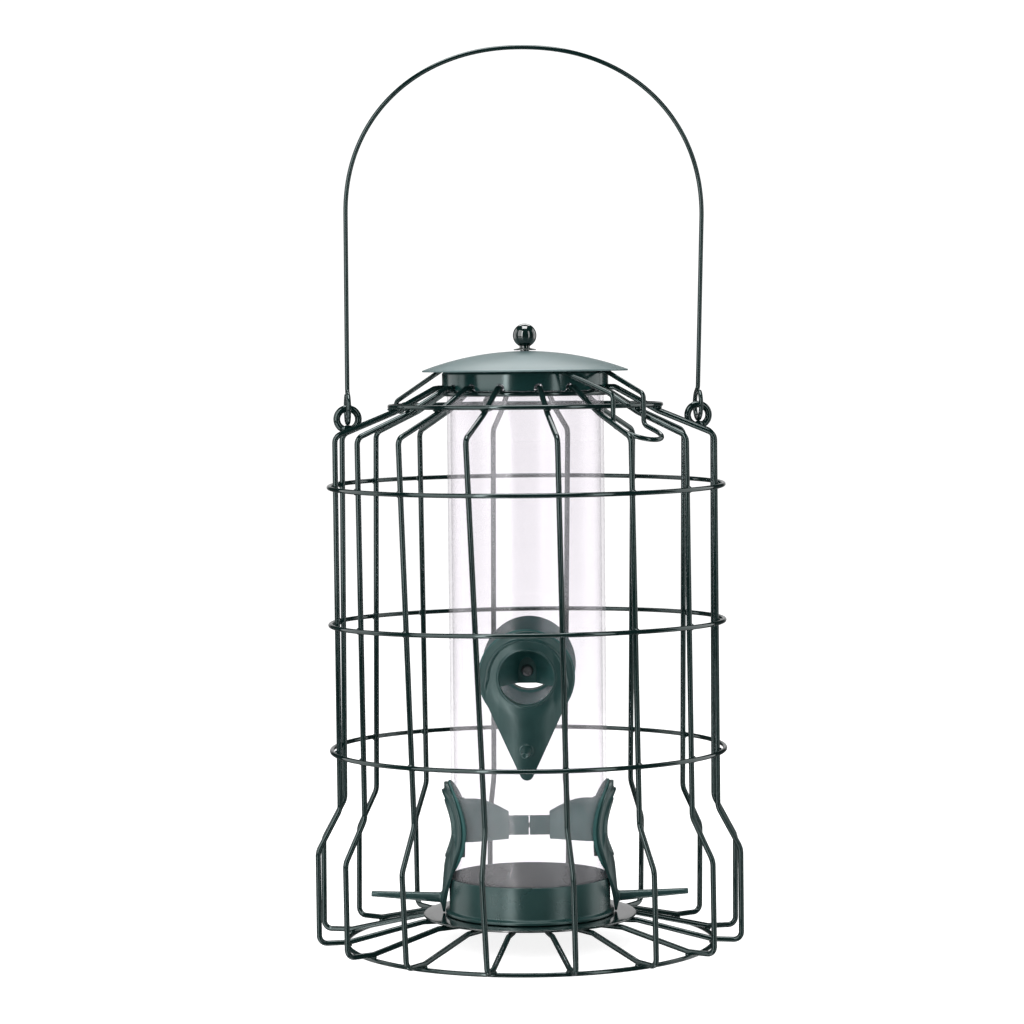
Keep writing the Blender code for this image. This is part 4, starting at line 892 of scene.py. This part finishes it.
under = LATCH_HEIGHT + LATCH_RADIUS + DOME_STANDOFF + float(dome_drop(CAP_RADIUS))
apex = under + DOME_SHEET
radii = np.linspace(STUD_BORE, DOME_RADIUS - DOME_SHEET / 2, DOME_ROWS)
lip = np.linspace(np.pi / 2, -np.pi / 2, 9)[1:-1]
middle = (DOME_RADIUS - DOME_SHEET / 2, apex - DOME_SHEET / 2 - float(dome_drop(DOME_RADIUS - DOME_SHEET / 2)))
edge = np.stack([middle[0] + DOME_SHEET / 2 * np.cos(lip), middle[1] + DOME_SHEET / 2 * np.sin(lip)], axis=-1)
outline = np.vstack([np.stack([radii, apex - dome_drop(radii)], axis=-1), edge,
                     np.stack([radii, under - dome_drop(radii)], axis=-1)[::-1]])
# Pale base tones: painted sheen of the satin coat, on top of the coat's own soft reflection.
dome_paint = finish_of("dome_paint", ((0.062, 0.103, 0.105), (0.073, 0.118, 0.121)), (0.36, 0.44), 0.02, 0.0005,
                       0.000004, {"Coat Weight": 0.25, "Coat Roughness": 0.30})
dome = piece("dome_spun", mesh_of("dome", [turned(outline, CAP_STEPS, closed=True)]), dome_paint)
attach(dome, "lid")
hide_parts("lid_dome")


# Knob, stud and nut
# The ball knob is turned with a slim neck and a small round foot, and carries the stud that holds dome and cap
# together. It is dipped in gloss coat. The hexagon nut on the stud, under the cap, is plated steel.

BALL_RADIUS, NECK_RADIUS = 0.0052, 0.0023
KNOB_NECK = 0.0004
KNOB_FOOT_RADIUS, KNOB_FOOT = 0.0049, 0.0009
STUD_RADIUS = 0.0020
NUT_HALF, NUT_HEIGHT = 0.0035, 0.0032
STUD_END = 0.0010
KNOB_STEPS = 64

foot = apex + GAP
top = foot + KNOB_FOOT
center = top + KNOB_NECK + BALL_RADIUS
nut_high = CAP_HIGH - CAP_SHEET - GAP
end = nut_high - NUT_HEIGHT - STUD_END
turn = np.linspace(np.pi / 2, math.asin(NECK_RADIUS / BALL_RADIUS) - np.pi / 2, 28)
ball = np.stack([BALL_RADIUS * np.cos(turn), center + BALL_RADIUS * np.sin(turn)], axis=-1)
lower = outline_of([ball[-1], (NECK_RADIUS, top + 0.0001), (KNOB_FOOT_RADIUS, top - 0.0004), (KNOB_FOOT_RADIUS, foot),
                    (STUD_RADIUS, foot), (STUD_RADIUS, end), (0, end)], [0.0003, 0.0003, 0.0001, 0, 0.0003])
ball[0, 0] = 0
knob_paint = finish_of("knob_paint", (DEEP_GREEN, DARK_GREEN), (0.06, 0.10), 0.01, 0.0012, 0.000002,
                       {"Coat Weight": 1.0, "Coat Roughness": 0.03})
knob = piece("knob_turned", mesh_of("knob", [turned(np.vstack([ball, lower[1:]]), KNOB_STEPS)]), knob_paint)
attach(knob, "lid")
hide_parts("lid_knob")

bearing = np.linspace(0, 2 * np.pi, 72, endpoint=False)[None]
hexagon = NUT_HALF / np.cos((bearing + np.pi / 6) % (np.pi / 3) - np.pi / 6)
heights = nut_high - NUT_HEIGHT * np.array([0, 0, 0.06, 0.12, 0.18, 0.5, 0.82, 0.88, 0.94, 1, 1])[:, None]
reach_out = np.array([STUD_BORE, 0.0034, 0.0036, 0.0038, 0.0042, 1, 0.0042, 0.0038, 0.0036, 0.0034, STUD_BORE])
reach_out = reach_out[:, None]
reach_out = np.minimum(reach_out, np.where(reach_out <= STUD_BORE, reach_out, hexagon))
grid = spot(np.degrees(bearing), reach_out, heights)
nut = piece("hex_nut", mesh_of("nut", [shell(grid, along=True)]), steel, 20.0)
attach(nut, "lid")
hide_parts("lid_nut")


# Latch wire
# One wire hinges the lid and locks it. Its eyes turn on the shoulder ring at the back left, its arms lie
# over the cap, and at the front right they bend down between the cage wires into a tab for a finger.

EYE_RADIUS, EYE_TURN = 0.00265, 270.0
LATCH_AZIMUTH = 42.7
HINGE_SPREAD, LEG_SPREAD = 26.75, 8.1
LEG_RADIUS, LEG_TOP, LEG_BOTTOM = 0.0647, 0.2420, 0.2290
TAB_REACH, TAB_DROP = 0.0160, 0.0060
LATCH_BEND = 0.003


def latch_line():
    """Centre line as (along, across, up): each half runs from its eye up the arm, over the cap along the
    straight line to its leg, down the leg and out to the tab's half circle."""
    hinge = BREAK_RADIUS * np.array([-math.cos(math.radians(HINGE_SPREAD)), math.sin(math.radians(HINGE_SPREAD))])
    leg = LEG_RADIUS * np.array([math.cos(math.radians(LEG_SPREAD)), math.sin(math.radians(LEG_SPREAD))])
    run = unit(leg - hinge)
    offset = run[0] * hinge[1] - run[1] * hinge[0]
    middle = np.array([-run[1] * offset, run[0] * offset])
    reach = math.sqrt(CAP_RADIUS ** 2 - offset ** 2)
    near, far = middle - run * reach, middle + run * reach
    rise, distance = LATCH_HEIGHT - SHOULDER_RING_HEIGHT, near[0] - hinge[0]
    slope = math.atan2(rise, distance) - math.asin(EYE_RADIUS / math.hypot(rise, distance))
    lift = math.degrees(slope) + 90
    turn = np.radians(np.linspace(lift + EYE_TURN, lift, 34))
    eye = np.stack([hinge[0] + EYE_RADIUS * np.cos(turn), 0 * turn + hinge[1],
                    SHOULDER_RING_HEIGHT + EYE_RADIUS * np.sin(turn)], axis=-1)
    tab = leg[0] + TAB_REACH - leg[1]
    drop = TAB_DROP / TAB_REACH
    corners = np.array([eye[-1], (*near, LATCH_HEIGHT), (*far, LATCH_HEIGHT), (*leg, LEG_TOP), (*leg, LEG_BOTTOM),
                        (tab, leg[1], LEG_BOTTOM - drop * (tab - leg[0]))])
    sweep = np.radians(np.linspace(90, 0, 14))[1:]
    ahead = tab + leg[1] * np.cos(sweep)
    loop = np.stack([ahead, leg[1] * np.sin(sweep), LEG_BOTTOM - drop * (ahead - leg[0])], axis=-1)
    half = np.vstack([eye[:-1], strided(bent_path(corners, [LATCH_BEND] * 4), STRIDE), loop])
    return np.vstack([half, half[-2::-1] * (1, -1, 1)])


axes = np.array([spot(LATCH_AZIMUTH, 1.0, 0.0), spot(LATCH_AZIMUTH + 90, 1.0, 0.0), UP])
guide = unit(np.array([0.35, 0.80, -0.48])) @ axes
latch = piece("latch_bent", mesh_of("latch", [shell(round_wire(latch_line() @ axes, LATCH_RADIUS, guide))]),
              wire_paint)
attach(latch, "lid")
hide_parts("latch_wire")


# Studio
# A light table and a white surround, lit as for a catalogue picture: a broad soft box at the front left, narrow
# ones beside it and at the front right, dimmer ones behind both sides, and one each above and at the back. The
# lens is long, and the camera stands a little above the feeder's middle and looks slightly down.

FLOOR_HALF = 8.0
WHITE_STRENGTH, FILL_STRENGTH = 1.12, 0.72
MIRRORED_FRONT, MIRRORED_BACK, MIRRORED_FLOOR = 0.02, 0.52, 0.04
TABLE_GLOW = 0.84
TABLE_GLOSS = 0.75
CAMERA_PLACE = (-0.00628, -1.3718, 0.25898)
CAMERA_PITCH, CAMERA_ROLL = 2.871, 0.555
CAMERA_LENS = 3126.4 / 1024 * 36


def chosen(tree, flag, usual, other):
    """Mix of two shaders, whose second one shows to rays that carry the flag."""
    mixed = tree.nodes.new("ShaderNodeMixShader")
    tree.links.new(tree.nodes.new("ShaderNodeLightPath").outputs[flag], mixed.inputs["Fac"])
    tree.links.new(usual, mixed.inputs[1])
    tree.links.new(other, mixed.inputs[2])
    return mixed.outputs["Shader"]


table_paint = finish_of("light_table", ((0.34, 0.34, 0.34), (0.37, 0.37, 0.37)), (0.6, 0.7), 0.2, 0.01, 0.00001,
                        {"Specular IOR Level": 0.0, "Emission Color": (1, 1, 1, 1), "Emission Strength": TABLE_GLOW})
table = table_paint.node_tree
dim = table.nodes.new("ShaderNodeEmission")
dim.inputs["Strength"].default_value = MIRRORED_FLOOR
sheen = table.nodes.new("ShaderNodeBsdfGlossy")
sheen.inputs["Color"].default_value = (TABLE_GLOSS, TABLE_GLOSS, TABLE_GLOSS, 1)
sheen.inputs["Roughness"].default_value = 0.2
both = table.nodes.new("ShaderNodeAddShader")
table.links.new(dim.outputs["Emission"], both.inputs[0])
table.links.new(sheen.outputs["BSDF"], both.inputs[1])
usual = table.nodes["Principled BSDF"].outputs["BSDF"]
table.links.new(chosen(table, "Is Glossy Ray", usual, both.outputs["Shader"]),
                table.nodes["Material Output"].inputs["Surface"])
floor_data = bpy.data.meshes.new("floor")
floor_data.from_pydata([(-FLOOR_HALF, -FLOOR_HALF, 0), (FLOOR_HALF, -FLOOR_HALF, 0), (FLOOR_HALF, FLOOR_HALF, 0),
                        (-FLOOR_HALF, FLOOR_HALF, 0)], [], [(0, 1, 2, 3)])
piece("floor", floor_data, table_paint)

world = bpy.data.worlds.new("studio")
bpy.context.scene.world = world
world.use_nodes = True
world.cycles.sampling_method = "NONE"
sky = world.node_tree
heading = sky.nodes.new("ShaderNodeTexCoord")
depth = sky.nodes.new("ShaderNodeSeparateXYZ")
sky.links.new(heading.outputs["Generated"], depth.inputs["Vector"])
mirrored = sky.nodes.new("ShaderNodeMapRange")
mirrored.inputs["From Min"].default_value = 0.93
mirrored.inputs["From Max"].default_value = 0.985
mirrored.inputs["To Min"].default_value = MIRRORED_FRONT
mirrored.inputs["To Max"].default_value = MIRRORED_BACK
sky.links.new(depth.outputs["Y"], mirrored.inputs["Value"])
white = sky.nodes["Background"]
fill, around = (sky.nodes.new("ShaderNodeBackground") for _ in range(2))
for light, strength in ((white, WHITE_STRENGTH), (fill, FILL_STRENGTH), (around, MIRRORED_FRONT)):
    light.inputs["Color"].default_value = (1, 1, 1, 1)
    light.inputs["Strength"].default_value = strength
sky.links.new(mirrored.outputs["Result"], around.inputs["Strength"])
unseen = chosen(sky, "Is Glossy Ray", fill.outputs["Background"], around.outputs["Background"])
sky.links.new(chosen(sky, "Is Camera Ray", unseen, white.outputs["Background"]),
              sky.nodes["World Output"].inputs["Surface"])


def soft_box(name, azimuth, rise, distance, width, height, glow):
    """Rectangular lamp aimed at the feeder's middle, hidden from the camera but not from reflections. A lamp
    of a given glow sends out pi width height glow watts."""
    data = bpy.data.lights.new(name, "AREA")
    data.shape = "RECTANGLE"
    data.size, data.size_y, data.energy = width, height, math.pi * width * height * glow
    lamp = bpy.data.objects.new(name, data)
    bpy.context.scene.collection.objects.link(lamp)
    aim = np.array([0, 0, 0.2])
    lift = math.radians(rise)
    lamp.location = aim + spot(azimuth, distance * math.cos(lift), distance * math.sin(lift))
    lamp.rotation_euler = (Vector(aim) - lamp.location).to_track_quat("-Z", "Y").to_euler()
    lamp.visible_camera = False


soft_box("key", -47, 22, 1.2, 1.0, 1.2, 2.9)
soft_box("key_edge", -26, 18, 1.2, 0.13, 1.1, 8.0)
soft_box("left", -112, 12, 1.2, 0.9, 1.1, 1.4)
soft_box("right", 43, 16, 1.2, 0.26, 1.1, 3.6)
soft_box("right_side", 112, 12, 1.2, 0.9, 1.1, 1.6)
soft_box("above", 0, 86, 1.3, 0.75, 0.75, 8.7)
soft_box("behind", 180, 45, 1.6, 1.1, 0.6, 3.2)

lens = bpy.data.cameras.new("camera")
lens.sensor_width = 36
lens.lens = CAMERA_LENS
camera = bpy.data.objects.new("camera", lens)
bpy.context.scene.collection.objects.link(camera)
camera.matrix_world = (Matrix.Translation(CAMERA_PLACE) @ Matrix.Rotation(math.radians(90 - CAMERA_PITCH), 4, "X")
                       @ Matrix.Rotation(-math.radians(CAMERA_ROLL), 4, "Z"))
bpy.context.scene.camera = camera
bpy.context.scene.view_settings.view_transform = "Standard"
